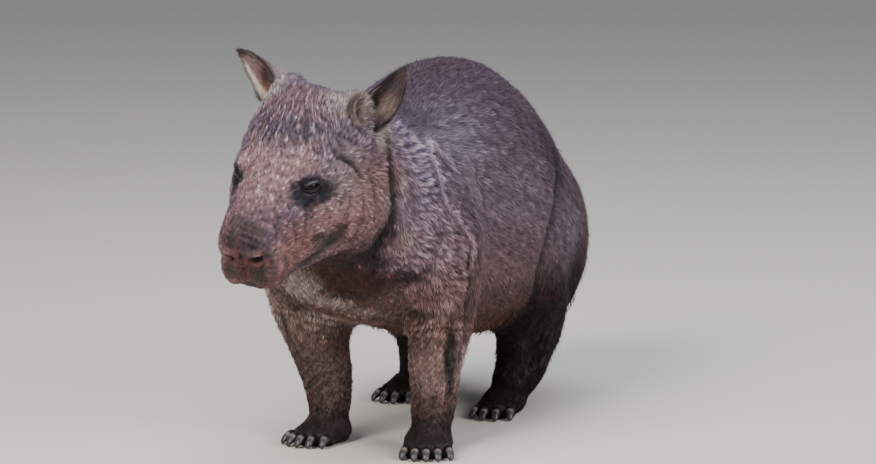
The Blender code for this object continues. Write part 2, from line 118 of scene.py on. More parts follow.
def normalArray(mesh):
    normals = np.zeros(len(mesh.vertices) * 3, np.float32)
    mesh.vertex_normals.foreach_get("vector", normals)
    return normals.reshape(-1, 3).astype(float)


def setVertices(mesh, points):
    mesh.vertices.foreach_set("co", points.astype(np.float32).ravel())
    mesh.update()


def vectorArray(vectors, count):
    return np.fromiter((value for vector in vectors for value in vector), float, count * 3).reshape(-1, 3)


def addObject(name, mesh):
    made = bpy.data.objects.new(name, mesh)
    bpy.context.scene.collection.objects.link(made)
    return made


def bakedMesh(obj):
    bpy.context.view_layer.update()
    mesh = bpy.data.meshes.new_from_object(obj.evaluated_get(bpy.context.evaluated_depsgraph_get()))
    bpy.data.objects.remove(obj, do_unlink=True)
    return mesh


def mended(mesh, weld, faceOut=True):
    # joins the points that are closer than weld, and turns the faces outwards
    bm = bmesh.new()
    bm.from_mesh(mesh)
    bmesh.ops.remove_doubles(bm, verts=bm.verts, dist=weld)
    if faceOut:
        bmesh.ops.recalc_face_normals(bm, faces=bm.faces)
    bm.to_mesh(mesh)
    bm.free()


def nearLine(points, line, reach):
    # the numbers of the points that lie within reach of the box round a line
    return np.nonzero(((points > line.min(0) - reach) & (points < line.max(0) + reach)).all(axis=1))[0]


def gapsTo(points, line):
    return np.sqrt(((points[:, None] - line[None]) ** 2).sum(axis=2))


def inParts(numbers, size=20000):
    # splits a long list, so that the distances worked out for each part fit in memory
    return np.array_split(numbers, max(1, len(numbers) // size))


def surfaceTree(mesh):
    bm = bmesh.new()
    bm.from_mesh(mesh)
    tree = BVHTree.FromBMesh(bm)
    bm.free()
    return tree


# The head's own space: left of its middle, ahead of the nape, above its axis

headPose = {"nape": (-0.0025, -0.2165, 0.379), "pitch": 30, "turn": 7.5, "roll": 4}


def headMatrix():
    turn = Matrix.Rotation(math.radians(-headPose["turn"]), 4, "Z")
    pitch = Matrix.Rotation(math.radians(headPose["pitch"]), 4, "X")
    roll = Matrix.Rotation(math.radians(headPose["roll"]), 4, "Y")
    return Matrix.Translation(headPose["nape"]) @ turn @ pitch @ roll


headToWorld = headMatrix() @ Matrix.Diagonal((1, -1, 1, 1))
worldToHead = headToWorld.inverted()


def inHead(points):
    return moved(worldToHead, points)


def fromHead(points):
    return moved(headToWorld, np.atleast_2d(np.array(points, float)))


# Where the legs run, body to sole, as (left, back, up)

legLines = {
    "foreleg_left": (
        (0.090, -0.098, 0.200), (0.083, -0.074, 0.165), (0.076, -0.082, 0.105), (0.077, -0.105, 0.026)),
    "foreleg_right": (
        (-0.090, -0.098, 0.200), (-0.088, -0.068, 0.165), (-0.071, -0.064, 0.105), (-0.056, -0.076, 0.026)),
    "hindleg_left": (
        (0.071, 0.280, 0.190), (0.090, 0.192, 0.165), (0.083, 0.216, 0.105), (0.071, 0.171, 0.026)),
    "hindleg_right": (
        (-0.066, 0.290, 0.190), (-0.085, 0.226, 0.165), (-0.078, 0.266, 0.105), (-0.068, 0.235, 0.026)),
}


def distanceToLine(points, line):
    line = np.array(line, float)
    best = np.full(len(points), 9.0)
    for a, b in zip(line, line[1:]):
        along = b - a
        share = np.clip((points - a) @ along / (along @ along), 0, 1)
        best = np.minimum(best, np.linalg.norm(points - a - share[:, None] * along, axis=1))
    return best


# Regions of the coat: length, width and height of a tuft, tufts to a square centimetre, how far they clump

coat = {
    "body": {"length": 0.0092, "width": 0.0010, "lift": 0.0026, "dense": 40, "clump": 0.34},
    "neck": {"length": 0.0062, "width": 0.0009, "lift": 0.0022, "dense": 62, "clump": 0.22},
    "belly": {"length": 0.0140, "width": 0.0013, "lift": 0.0036, "dense": 24, "clump": 0.42},
    "leg": {"length": 0.0066, "width": 0.0010, "lift": 0.0020, "dense": 52, "clump": 0.38},
    "foot": {"length": 0.0068, "width": 0.0009, "lift": 0.0017, "dense": 56, "clump": 0.3},
    "crown": {"length": 0.0074, "width": 0.0009, "lift": 0.0017, "dense": 52, "clump": 0.55},
    "face": {"length": 0.0044, "width": 0.0007, "lift": 0.0012, "dense": 80, "clump": 0.55},
    "nose": {"length": 0.0026, "width": 0.0005, "lift": 0.0006, "dense": 120, "clump": 0.1},
}
coatKeys = ("length", "width", "lift", "dense", "clump")


def regionShares(points):
    # each region's share at each point, adding up to one
    head = inHead(points)
    left = np.abs(head[:, 0])
    ahead = head[:, 1]
    up = head[:, 2]
    legDistance = np.min([distanceToLine(points, line) for line in legLines.values()], axis=0)
    shares = {}
    free = np.ones(len(points))
    shares["foot"] = ramp(points[:, 2], 0.055, 0.030) * free
    free = free - shares["foot"]
    snout = ramp(ahead, 0.175, 0.212) * ramp(up, -0.085, -0.06)
    shares["nose"] = snout * free
    free = free - shares["nose"]
    shares["face"] = ramp(ahead - 0.25 * up, 0.075, 0.125) * free
    free = free - shares["face"]
    skull = ramp(ahead + 0.35 * up, -0.040, 0.010) * ramp(up, -0.16, -0.09)
    shares["crown"] = skull * free
    free = free - shares["crown"]
    legs = ramp(legDistance, 0.075, 0.050) * ramp(points[:, 2], 0.175, 0.115)
    shares["leg"] = legs * free
    free = free - shares["leg"]
    shares["neck"] = ramp(points[:, 1] + 0.35 * points[:, 2], -0.012, -0.042) * free
    free = free - shares["neck"]
    shares["belly"] = ramp(points[:, 2], 0.15, 0.105) * free
    shares["body"] = free - shares["belly"]
    return shares


def coatAt(points):
    shares = regionShares(points)
    return {key: sum(shares[name] * coat[name][key] for name in coat) for key in coatKeys}


# Markings, shared by skin and coat: a base by height, then dabs of colour laid one over another; some dabs are
# painted shade and some painted highlights, as said above each

coatBase = {"top": "5e4c60", "low": "5a4446", "lowFrom": 0.33, "lowTo": 0.15}
# space (own and ownHead are not mirrored), place (left, back, up; in the head left, ahead, up), radii,
# colour, amount, and how sharp the edge is where it isn't soft
marksAndPaintedLight = [
    ("body", (0.00, 0.07, 0.42), (0.07, 0.30, 0.04), "563f4e", 0.75),
    ("body", (0.10, -0.07, 0.35), (0.06, 0.12, 0.07), "92889e", 0.7),
    ("body", (0.13, 0.05, 0.26), (0.06, 0.14, 0.06), "867483", 0.75),
    ("body", (0.12, 0.02, 0.19), (0.06, 0.14, 0.04), "836469", 0.75),
    # painted shade under the belly, reddish as from light thrown up off red earth
    ("body", (0.10, 0.10, 0.10), (0.16, 0.20, 0.05), "663127", 0.85),
    # painted shade in the crease between belly and thigh
    ("body", (0.10, 0.17, 0.11), (0.06, 0.06, 0.06), "150e0e", 0.85),
    ("body", (0.09, -0.18, 0.31), (0.05, 0.05, 0.08), "786c84", 0.75),
    ("body", (0.10, -0.15, 0.24), (0.04, 0.05, 0.05), "7b6571", 0.75),
    ("body", (0.10, -0.13, 0.18), (0.06, 0.06, 0.05), "695454", 0.8),
    # painted shade under the chest, reddish like the belly's
    ("body", (0.00, -0.18, 0.17), (0.08, 0.07, 0.04), "5f3d33", 0.8),
    ("body", (0.08, 0.25, 0.08), (0.08, 0.13, 0.07), "0d0b0c", 0.97),
    # these three: painted highlights, bluish grey, on the dark hind leg
    ("body", (0.125, 0.205, 0.120), (0.016, 0.020, 0.045), "2f2e33", 0.8, 2),
    ("body", (0.117, 0.199, 0.086), (0.007, 0.012, 0.022), "393940", 0.7, 2),
    ("body", (0.085, 0.183, 0.074), (0.009, 0.010, 0.012), "3f3f46", 0.7, 2),
    ("body", (0.13, 0.22, 0.21), (0.05, 0.07, 0.05), "796f80", 0.8),
    ("body", (0.12, 0.25, 0.13), (0.06, 0.08, 0.045), "140f12", 0.85),
    ("own", (0.078, -0.115, 0.094), (0.045, 0.05, 0.044), "a38883", 0.85),
    ("own", (0.084, -0.112, 0.136), (0.040, 0.040, 0.018), "7c615b", 0.80),
    ("own", (-0.080, -0.105, 0.140), (0.050, 0.05, 0.030), "9c857c", 0.8),
    ("own", (-0.060, -0.090, 0.080), (0.050, 0.05, 0.040), "67524c", 0.9),
    ("body", (0.08, -0.11, 0.050), (0.05, 0.05, 0.020), "523a35", 0.8),
    # a dark strip down the outer rear of the left foreleg, and a paler one in front of it
    ("body", (0.099, -0.104, 0.104), (0.007, 0.012, 0.046), "0f0a0b", 0.95, 3),
    ("body", (0.107, -0.088, 0.105), (0.006, 0.009, 0.045), "7d6a70", 0.75, 2),
    ("body", (0.07, -0.12, 0.01), (0.07, 0.08, 0.030), "2a2425", 0.97),
    ("body", (0.07, 0.17, 0.01), (0.07, 0.12, 0.045), "111011", 0.97),
    ("body", (0.078, -0.200, 0.245), (0.020, 0.020, 0.020), "9c8284", 0.7, 2),
    # painted shade under the pale bulge of the neck
    ("body", (0.080, -0.180, 0.205), (0.018, 0.022, 0.009), "0c0807", 0.9, 2),
    # painted shade under the chin, reddish
    ("body", (0.030, -0.205, 0.200), (0.060, 0.040, 0.017), "331108", 0.93, 2.5),
    ("own", (0.012, -0.197, 0.184), (0.028, 0.030, 0.0045), "1a0d09", 0.85, 2),
    # painted shade below the jaw, on the left side alone
    ("own", (0.048, -0.208, 0.227), (0.013, 0.020, 0.012), "0e0706", 0.85, 2),
    ("body", (0.068, -0.125, 0.158), (0.020, 0.030, 0.010), "2a1d1a", 0.8, 2),
    ("own", (0.040, -0.125, 0.138), (0.016, 0.040, 0.012), "1c1311", 0.85, 2),
    ("own", (0.016, -0.168, 0.163), (0.024, 0.040, 0.008), "8b7770", 0.80, 2),
    ("own", (-0.012, -0.186, 0.175), (0.026, 0.030, 0.008), "a8938d", 0.85, 2),
    ("own", (-0.050, -0.184, 0.187), (0.032, 0.040, 0.012), "b09c94", 0.90, 2),
    ("body", (0.000, 0.060, 0.436), (0.050, 0.120, 0.013), "2b2129", 0.8, 2),
    ("body", (0.052, -0.087, 0.374), (0.05, 0.05, 0.03), "3e3541", 0.6),
    ("body", (0.115, 0.215, 0.30), (0.04, 0.05, 0.06), "3a2a35", 0.7),
    ("body", (0.070, -0.222, 0.366), (0.014, 0.022, 0.022), "c9bcc0", 0.80, 2),
    ("body", (0.086, -0.217, 0.305), (0.011, 0.014, 0.022), "a397a6", 0.40, 2),
    ("head", (0.00, 0.07, 0.05), (0.09, 0.09, 0.06), "6e6170", 0.8),
    ("head", (0.010, 0.086, 0.052), (0.024, 0.036, 0.03), "3b3546", 0.70),
    ("head", (0.00, 0.045, 0.068), (0.05, 0.025, 0.03), "775b5e", 0.7),
    # paler crown: painted highlight where light falls on the top of the head
    ("head", (0.040, 0.022, 0.062), (0.016, 0.022, 0.02), "a59896", 0.7),
    ("head", (0.062, 0.018, 0.042), (0.020, 0.028, 0.026), "8d7d7a", 0.75, 2),
    ("head", (0.060, 0.026, 0.048), (0.009, 0.014, 0.014), "4e3a35", 0.65, 2),
    ("head", (0.07, 0.11, -0.04), (0.04, 0.06, 0.05), "9d7777", 0.9),
    ("head", (0.068, 0.092, 0.000), (0.030, 0.040, 0.026), "85787c", 0.75),
    ("head", (0.07, 0.05, -0.05), (0.05, 0.05, 0.05), "8a6c68", 0.8),
    ("head", (0.00, 0.15, 0.03), (0.04, 0.06, 0.03), "98777a", 0.85),
    # paler brow: painted highlight where light falls on it
    ("head", (0.035, 0.115, 0.040), (0.024, 0.025, 0.02), "a28283", 0.8),
    ("head", (0.00, 0.212, 0.005), (0.032, 0.028, 0.020), "3d2b2c", 0.93),
    ("head", (0.00, 0.225, -0.030), (0.030, 0.025, 0.024), "5f2d22", 0.9),
    # painted highlight on the right side of the nose alone
    ("ownHead", (-0.020, 0.215, -0.025), (0.012, 0.030, 0.040), "926869", 0.6, 2),
    ("head", (0.018, 0.222, -0.038), (0.013, 0.016, 0.011), "2c2724", 0.90, 2),
    ("head", (0.014, 0.220, 0.002), (0.011, 0.014, 0.009), "2a2328", 0.8, 2),
    # painted highlight above the nostril
    ("head", (0.020, 0.226, -0.012), (0.006, 0.010, 0.0035), "7f6a65", 0.7, 2),
    ("head", (0.038, 0.205, -0.014), (0.005, 0.014, 0.014), "b49a99", 0.6, 2),
    ("head", (0.045, 0.185, -0.03), (0.02, 0.03, 0.03), "996b65", 0.8),
    ("head", (0.02, 0.205, -0.060), (0.03, 0.03, 0.018), "704438", 0.7),
    ("head", (0.058, 0.131, -0.054), (0.018, 0.024, 0.014), "120703", 0.93, 2),
    ("head", (0.070, 0.108, -0.068), (0.010, 0.014, 0.009), "331c17", 0.85, 2),
    ("head", (0.052, 0.146, -0.040), (0.007, 0.010, 0.006), "2a1611", 0.85, 2),
    ("head", (0.042, 0.158, -0.065), (0.013, 0.022, 0.009), "1d0c07", 0.88, 2),
    ("head", (0.064, 0.116, -0.046), (0.009, 0.010, 0.007), "2a1411", 0.85, 2),
    ("head", (0.074, 0.100, -0.052), (0.008, 0.009, 0.008), "3a201c", 0.80, 2),
    ("head", (0.072, 0.094, -0.086), (0.010, 0.014, 0.008), "3a1f1b", 0.75, 2),
    # painted shade under the upper lip
    ("head", (0.000, 0.205, -0.068), (0.042, 0.045, 0.007), "2e140d", 0.85, 2),
    # painted shade low in the cheek crease
    ("head", (0.074, 0.060, -0.103), (0.012, 0.018, 0.018), "0e0a0c", 0.80, 2),
    ("head", (0.090, 0.040, -0.068), (0.009, 0.016, 0.030), "93889a", 0.60, 2),
    # painted shade under the head, reddish
    ("head", (0.00, 0.12, -0.13), (0.08, 0.11, 0.047), "39150c", 0.97, 2.5),
    ("ownHead", (-0.030, 0.085, -0.168), (0.030, 0.040, 0.022), "a8948c", 0.9, 2),
    ("head", (0.0430, 0.1325, 0.0112), (0.0185, 0.0218, 0.0165), "130f24", 1.0, 4),
    ("head", (0.0550, 0.1160, 0.0010), (0.0130, 0.0160, 0.0110), "100f1c", 0.97, 3),
]


def coatColour(points):
    spaces = {"own": points, "body": points.copy(), "ownHead": inHead(points), "head": inHead(points)}
    spaces["body"][:, 0] = np.abs(points[:, 0])
    spaces["head"][:, 0] = np.abs(spaces["head"][:, 0])
    head = spaces["head"]
    low = ramp(points[:, 2], coatBase["lowFrom"], coatBase["lowTo"])[:, None]
    colour = linear(coatBase["top"]) * (1 - low) + linear(coatBase["low"]) * low
    ragged = 1 + 0.30 * ripple(points, 0.018, 51) + 0.22 * ripple(points, 0.007, 52)
    for space, place, radii, hexColour, amount, *sharp in marksAndPaintedLight:
        offset = (spaces[space] - np.array(place)) / np.array(radii)
        away = (offset ** 2).sum(axis=1) * np.maximum(ragged, 0.3)
        share = (amount * np.exp(-away ** (sharp[0] if sharp else 1.5)))[:, None]
        colour = colour * (1 - share) + linear(hexColour) * share
    face = ramp(head[:, 1], 0.06, 0.12)
    muzzle = ramp(head[:, 1], 0.17, 0.20)
    mottle = (0.16 * face + 0.22 * muzzle) * ripple(points, 0.009, 53)
    mottle += 0.20 * muzzle * ripple(points, 0.0042, 54)
    # the folds' painted shade and painted highlights laid over the coat's own mottling
    return colour * (np.exp(mottle) * foldShade(points))[:, None]


# Skin: the flesh nodes swollen until they touch, made one surface, and let in by the depth of the coat

skinBuild = {
    "nodes": ("head", "neck", "torso", "tail", "foreleg_left", "foreleg_right", "hindleg_left",
              "hindleg_right", "forefoot_left", "forefoot_right", "hindfoot_left", "hindfoot_right"),
    "swell": 0.0006,  # closes the thin cuts between nodes
    "plug": 0.0118,  # radius of the ball that fills each eye's hollow
    "voxel": 0.0036,
    "rounds": 22,  # of smoothing, on the body
    "depth": {"body": 0.0042, "neck": 0.0040, "belly": 0.0050, "leg": 0.0030, "foot": 0.0015, "crown": 0.0022,
              "face": 0.0015, "nose": 0.0006},
}


def eyePlace(side):
    low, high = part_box("eye_left" if side > 0 else "eye_right")
    return (low + high) / 2


def swollenNodes():
    bm = bmesh.new()
    for name in skinBuild["nodes"]:
        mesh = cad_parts[name].data.copy()
        mended(mesh, 0.00002, False)
        setVertices(mesh, vertexArray(mesh) + normalArray(mesh) * skinBuild["swell"])
        bm.from_mesh(mesh)
        bpy.data.meshes.remove(mesh)
    for side in (-1, 1):
        plug = Matrix.Translation(eyePlace(side)) @ Matrix.Scale(skinBuild["plug"], 4)
        bmesh.ops.create_icosphere(bm, subdivisions=3, radius=1.0, matrix=plug)
    mesh = bpy.data.meshes.new("skin")
    bm.to_mesh(mesh)
    bm.free()
    return mesh


def smoothed(points, edges, weights, rounds):
    # moves each point towards its neighbours' mean, by its own weight
    count = np.bincount(edges.ravel(), minlength=len(points))[:, None]
    for _ in range(rounds):
        total = np.stack([
            np.bincount(edges[:, 0], points[edges[:, 1], k], len(points))
            + np.bincount(edges[:, 1], points[edges[:, 0], k], len(points)) for k in range(3)], axis=1)
        points = points + (total / np.maximum(count, 1) - points) * weights[:, None]
    return points


def edgeArray(mesh):
    edges = np.zeros(len(mesh.edges) * 2, np.int32)
    mesh.edges.foreach_get("vertices", edges)
    return edges.reshape(-1, 2)


def refined(mesh, isFine):
    # splits every face whose corners are all in the fine part into four
    bm = bmesh.new()
    bm.from_mesh(mesh)
    bm.verts.ensure_lookup_table()
    chosen = [edge for edge in bm.edges if isFine[edge.verts[0].index] and isFine[edge.verts[1].index]]
    bmesh.ops.subdivide_edges(bm, edges=chosen, cuts=1, use_grid_fill=True)
    bmesh.ops.triangulate(bm, faces=[face for face in bm.faces if len(face.verts) > 4])
    bm.to_mesh(mesh)
    bm.free()
    return mesh


def makeSkinMesh():
    shell = addObject("skinShell", swollenNodes())
    union = shell.modifiers.new("union", "REMESH")
    union.mode = "VOXEL"
    union.voxel_size = skinBuild["voxel"]
    mesh = bakedMesh(shell)
    points = vertexArray(mesh)
    shares = regionShares(points)
    still = shares["foot"] + shares["nose"] + 0.75 * shares["face"]
    still += 0.3 * shares["crown"] + 0.2 * shares["leg"]
    points = smoothed(points, edgeArray(mesh), 0.5 * np.clip(1 - still, 0.04, 1), skinBuild["rounds"])
    setVertices(mesh, points)
    flat = addObject("skinFlat", mesh)
    unwrapped(flat)
    bpy.data.objects.remove(flat)
    head = inHead(points)
    mesh = refined(mesh, (head[:, 1] > 0.0) & (head[:, 2] > -0.13))
    points = vertexArray(mesh)
    head = inHead(points)
    nearEye = np.min([np.linalg.norm(points - np.array(eyePlace(side)), axis=1) for side in (-1, 1)], axis=0)
    mesh = refined(mesh, (head[:, 1] > 0.185) & (head[:, 2] > -0.085) | (nearEye < 0.022))
    points = vertexArray(mesh)
    still = np.where(inHead(points)[:, 1] > 0.0, 0.5, 0.0)
    points = smoothed(points, edgeArray(mesh), still, 3)
    setVertices(mesh, points)
    shares = regionShares(points)
    depth = sum(shares[name] * skinBuild["depth"][name] for name in shares)
    setVertices(mesh, points - normalArray(mesh) * depth[:, None])
    return mesh


# Folds of the skin and the lines of the face: places along each, width, depth (below zero stands proud), how
# it darkens (below one) or lightens the coat, and whether the coat is combed along it. The darkening is
# painted shade in the groove or crease, on the mouth and the ear's folds over their own darker colour; the
# lightening is a painted highlight along a crest that stands proud and down the philtrum, while on the ear's
# pale fold it is the hair's own paler colour

folds = {
    "thigh": {"space": "body", "width": 0.010, "depth": 0.0085, "tint": 0.45, "places": (
        (0.110, 0.235, 0.300), (0.122, 0.213, 0.274), (0.131, 0.185, 0.250), (0.136, 0.155, 0.226),
        (0.137, 0.130, 0.201), (0.134, 0.118, 0.180), (0.126, 0.122, 0.155), (0.112, 0.140, 0.128))},
    "shoulderRidge": {"space": "body", "width": 0.0034, "depth": -0.0058, "tint": 3.2, "combed": True,
                      "places": (
        (0.087, -0.130, 0.353), (0.094, -0.144, 0.340), (0.102, -0.149, 0.322), (0.107, -0.152, 0.304),
        (0.113, -0.148, 0.282), (0.123, -0.127, 0.258), (0.130, -0.118, 0.243), (0.129, -0.109, 0.221),
        (0.126, -0.099, 0.201))},
    "shoulderRidgeBack": {"space": "body", "width": 0.0030, "depth": -0.0034, "tint": 2.2, "combed": True,
                          "places": (
        (0.089, -0.126, 0.352), (0.097, -0.132, 0.341), (0.104, -0.124, 0.330), (0.109, -0.118, 0.318))},
    "shoulderGroove": {"space": "body", "width": 0.0030, "depth": 0.0050, "tint": 0.35, "combed": True,
                       "places": (
        (0.096, -0.140, 0.340), (0.102, -0.143, 0.327), (0.110, -0.1445, 0.304), (0.1165, -0.1385, 0.281),
        (0.1245, -0.121, 0.263))},
    "elbowLine": {"space": "body", "width": 0.0038, "depth": 0.0055, "tint": 0.35, "combed": True, "places": (
        (0.127, -0.119, 0.228), (0.126, -0.110, 0.214), (0.124, -0.100, 0.195), (0.119, -0.095, 0.176),
        (0.114, -0.090, 0.149), (0.112, -0.085, 0.129))},
    "cheek": {"space": "head", "width": 0.009, "depth": 0.0115, "tint": 0.30, "places": (
        (0.074, -0.002, -0.010), (0.084, 0.018, -0.030), (0.089, 0.031, -0.057), (0.088, 0.041, -0.083),
        (0.078, 0.052, -0.103), (0.062, 0.062, -0.118), (0.036, 0.074, -0.128))},
    "mouth": {"space": "head", "width": 0.0030, "depth": 0.0050, "tint": 0.15, "places": (
        (0.0, 0.226, -0.064), (0.022, 0.214, -0.068), (0.038, 0.184, -0.068), (0.050, 0.152, -0.066),
        (0.060, 0.126, -0.060))},
    "philtrum": {"space": "head", "width": 0.0020, "depth": 0.0022, "tint": 1.4, "places": (
        (0.0, 0.230, -0.002), (0.0, 0.230, -0.014), (0.0, 0.232, -0.036), (0.0, 0.228, -0.056))},
    "nostril": {"space": "head", "width": 0.0034, "depth": 0.0090, "tint": 0.25, "places": (
        (0.0115, 0.231, -0.0225), (0.0190, 0.228, -0.0205), (0.0255, 0.222, -0.0160))},
    "nostrilRim": {"space": "head", "width": 0.0034, "depth": -0.0026, "tint": 1.25, "places": (
        (0.009, 0.229, -0.0135), (0.018, 0.227, -0.0105), (0.0270, 0.219, -0.008))},
    "nostrilWing": {"space": "head", "width": 0.0030, "depth": 0.0022, "tint": 0.6, "places": (
        (0.0290, 0.220, -0.012), (0.0310, 0.214, -0.020), (0.0295, 0.213, -0.029))},
    "upperLidFold": {"space": "head", "width": 0.0022, "depth": 0.0014, "tint": 0.7, "places": (
        (0.034, 0.148, 0.026), (0.042, 0.138, 0.031), (0.052, 0.122, 0.030), (0.061, 0.106, 0.022))},
    "underEye": {"space": "head", "width": 0.0026, "depth": 0.0014, "tint": 0.75, "places": (
        (0.040, 0.150, 0.004), (0.050, 0.138, -0.005), (0.060, 0.122, -0.006))},
    "browCrease": {"space": "head", "width": 0.0034, "depth": 0.0038, "tint": 0.18, "places": (
        (0.054, 0.081, 0.028), (0.059, 0.082, 0.022), (0.065, 0.077, 0.014), (0.071, 0.073, 0.004),
        (0.075, 0.073, -0.009))},
    "earFoldOuter": {"space": "head", "width": 0.0030, "depth": 0.0034, "tint": 0.35, "places": (
        (0.058, 0.012, 0.056), (0.055, 0.023, 0.055), (0.053, 0.028, 0.052), (0.054, 0.033, 0.048),
        (0.057, 0.038, 0.041), (0.061, 0.040, 0.034), (0.066, 0.038, 0.024))},
    "earFoldInner": {"space": "head", "width": 0.0030, "depth": 0.0028, "tint": 0.45, "places": (
        (0.064, 0.014, 0.051), (0.063, 0.022, 0.050), (0.062, 0.027, 0.046), (0.063, 0.030, 0.039),
        (0.065, 0.029, 0.029))},
    "earFoldPale": {"space": "head", "width": 0.0024, "depth": -0.0018, "tint": 1.7, "places": (
        (0.061, 0.013, 0.054), (0.059, 0.024, 0.052), (0.058, 0.030, 0.047), (0.060, 0.033, 0.039))},
    "browCreaseBack": {"space": "head", "width": 0.0024, "depth": 0.0024, "tint": 0.40, "places": (
        (0.054, 0.064, 0.038), (0.062, 0.060, 0.031), (0.069, 0.054, 0.021))},
    "foreheadOuter": {"space": "head", "width": 0.0020, "depth": 0.0022, "tint": 0.40, "places": (
        (0.034, 0.058, 0.057), (0.044, 0.062, 0.048), (0.052, 0.067, 0.038), (0.058, 0.072, 0.029))},
    "foreheadMiddle": {"space": "head", "width": 0.0018, "depth": 0.0020, "tint": 0.40, "places": (
        (0.029, 0.068, 0.055), (0.040, 0.075, 0.047), (0.049, 0.080, 0.036))},
    "foreheadInner": {"space": "head", "width": 0.0020, "depth": 0.0020, "tint": 0.40, "places": (
        (0.018, 0.060, 0.062), (0.024, 0.078, 0.055), (0.031, 0.094, 0.046))},
}
cheekFolds = (
    ((0.082, 0.055, -0.010), (0.084, 0.066, -0.035), (0.080, 0.080, -0.062), (0.070, 0.090, -0.082)),
    ((0.081, 0.075, -0.008), (0.082, 0.086, -0.030), (0.077, 0.098, -0.052)),
    ((0.076, 0.094, -0.006), (0.076, 0.104, -0.024), (0.070, 0.117, -0.044)),
    ((0.052, 0.150, -0.002), (0.051, 0.160, -0.020), (0.047, 0.166, -0.038)),
    ((0.046, 0.170, -0.010), (0.045, 0.176, -0.026), (0.042, 0.180, -0.042)),
)
for number, places in enumerate(cheekFolds, 1):  # faint painted shade along small creases of cheek and muzzle, each a little different from the next
    folds[f"cheekFold{number}"] = {
        "space": "head", "width": 0.0022 + 0.0006 * (number % 3), "depth": 0.0016,
        "tint": (0.75, 0.60, 0.80)[number % 3], "places": places}
coatAbove = 0.0015  # height of the coat's face over the skin, where the folds' shades are measured
foldLines = {}  # the folds as laid on the skin, filled in when they are carved


def foldLine(fold, side, tree):
    # the fold's places on one side, joined by a smooth line and laid on the skin
    places = np.array(fold["places"]) * np.array((side, 1, 1))
    if fold["space"] == "head":
        places = fromHead(places)
    spots = []
    padded = np.vstack([2 * places[0] - places[1], places, 2 * places[-1] - places[-2]])
    for a, b, c, d in zip(padded, padded[1:], padded[2:], padded[3:]):
        steps = max(2, int(np.linalg.norm(c - b) / 0.0015))
        for t in np.arange(steps) / steps:
            spots.append(0.5 * (2 * b + (c - a) * t + (2 * a - 5 * b + 4 * c - d) * t * t
                                + (3 * b - a - 3 * c + d) * t ** 3))
    spots.append(places[-1])
    found = [tree.find_nearest(Vector(spot))[:2] for spot in spots]
    return np.array([spot for spot, _ in found]), np.array([outward for _, outward in found])


def carveFolds(mesh):
    tree = surfaceTree(mesh)
    points = vertexArray(mesh)
    normals = normalArray(mesh)
    push = np.zeros(len(points))
    for name, fold in folds.items():
        endShare = 0.15 if fold["width"] > 0.003 else 0.6
        onMiddle = fold["places"][0][0] == 0.0 and fold["places"][-1][0] == 0.0
        for side in ((1,) if onMiddle else (1, -1)):
            line, outward = foldLine(fold, side, tree)
            order = np.arange(len(line))
            fade = np.clip(np.minimum(order + 1, len(line) - order) / (0.25 * len(line)), endShare, 1)
            foldLines[name, side] = line - outward * (fold["depth"] * fade - coatAbove)[:, None]
            near = nearLine(points, line, 3 * fold["width"])
            closest = np.array([np.linalg.norm(line - points[i], axis=1).argmin() for i in near])
            distance = np.linalg.norm(points[near] - line[closest], axis=1)
            push[near] += fold["depth"] * fade[closest] * np.exp(-(distance / fold["width"]) ** 2)
    return points - normals * push[:, None], normals


def foldShade(points, widen=1.0):
    # how far the folds' painted shade and painted highlights darken or lighten the coat at each point
    shade = np.ones(len(points))
    ragged = np.clip(1 + 0.45 * ripple(points, 0.010, 55), 0.35, 1.8)
    for (name, _), line in foldLines.items():
        width = folds[name]["width"] * widen
        for part in inParts(nearLine(points, line, 2.5 * width)):
            gaps = gapsTo(points[part], line[::2]).min(axis=1)
            wide = width * (1 if folds[name].get("combed") else ragged[part])
            shade[part] *= 1 + (folds[name]["tint"] - 1) * np.exp(-(gaps / wide) ** 2)
    return shade


def wrinkle(points, normals):
    # loose skin of the neck, chest and shoulders, and fine creases of the brow, crosswise to the coat
    shares = regionShares(points)
    size = {"neck": (0.014, 0.0012), "leg": (0.012, 0.0006), "crown": (0.009, 0.0006), "body": (0.03, 0.0007),
            "face": (0.0080, 0.0010), "nose": (0.0062, 0.0007)}
    push = np.zeros(len(points))
    for k, (name, (width, height)) in enumerate(size.items()):
        push += shares[name] * height * ripple(points, width, 40 + k)
    return points + normals * push[:, None]


def inEyeSpace(side, points):
    return moved(eyeToWorld[side].inverted(), points)


def openEyes(points):
    # lets the skin in behind each lid, to leave room for the ball
    for side in (-1, 1):
        inEye = inEyeSpace(side, points)
        across = np.hypot(inEye[:, 0] / eye["opened"][0], inEye[:, 1] / eye["opened"][1])
        inside = (np.abs(inEye[:, 2]) < 0.03) & (np.linalg.norm(inEye, axis=1) < 0.024)
        sink = np.where(inside, ramp(across, 1.25, 0.85), 0.0)
        look = np.array(eyeToWorld[side])[:3, 2]
        points = points - look[None, :] * (eye["sunk"] * sink)[:, None]
    return points


# Eyes and lids

eye = {
    "radius": 0.0095,
    "axis": (0.78, 0.55, 0.30),  # the way it looks: left, ahead, up in the head
    "slant": -18, "halfLength": 0.0088, "upper": 0.0031, "lower": 0.0028,  # of the opening between the lids
    "opened": (0.0125, 0.0085), "sunk": 0.013,  # half width and height, and depth, of the hollow in the skin
    "bare": (0.0150, 0.0105),  # half width and height of the oval with no body coat, where the lids are
    "pupil": 0.0030, "iris": 0.0066, "edge": 0.0074,  # radii
    "colours": {"pupil": "020202", "iris": "0a0605", "edge": "070505", "white": "15100f"},
}


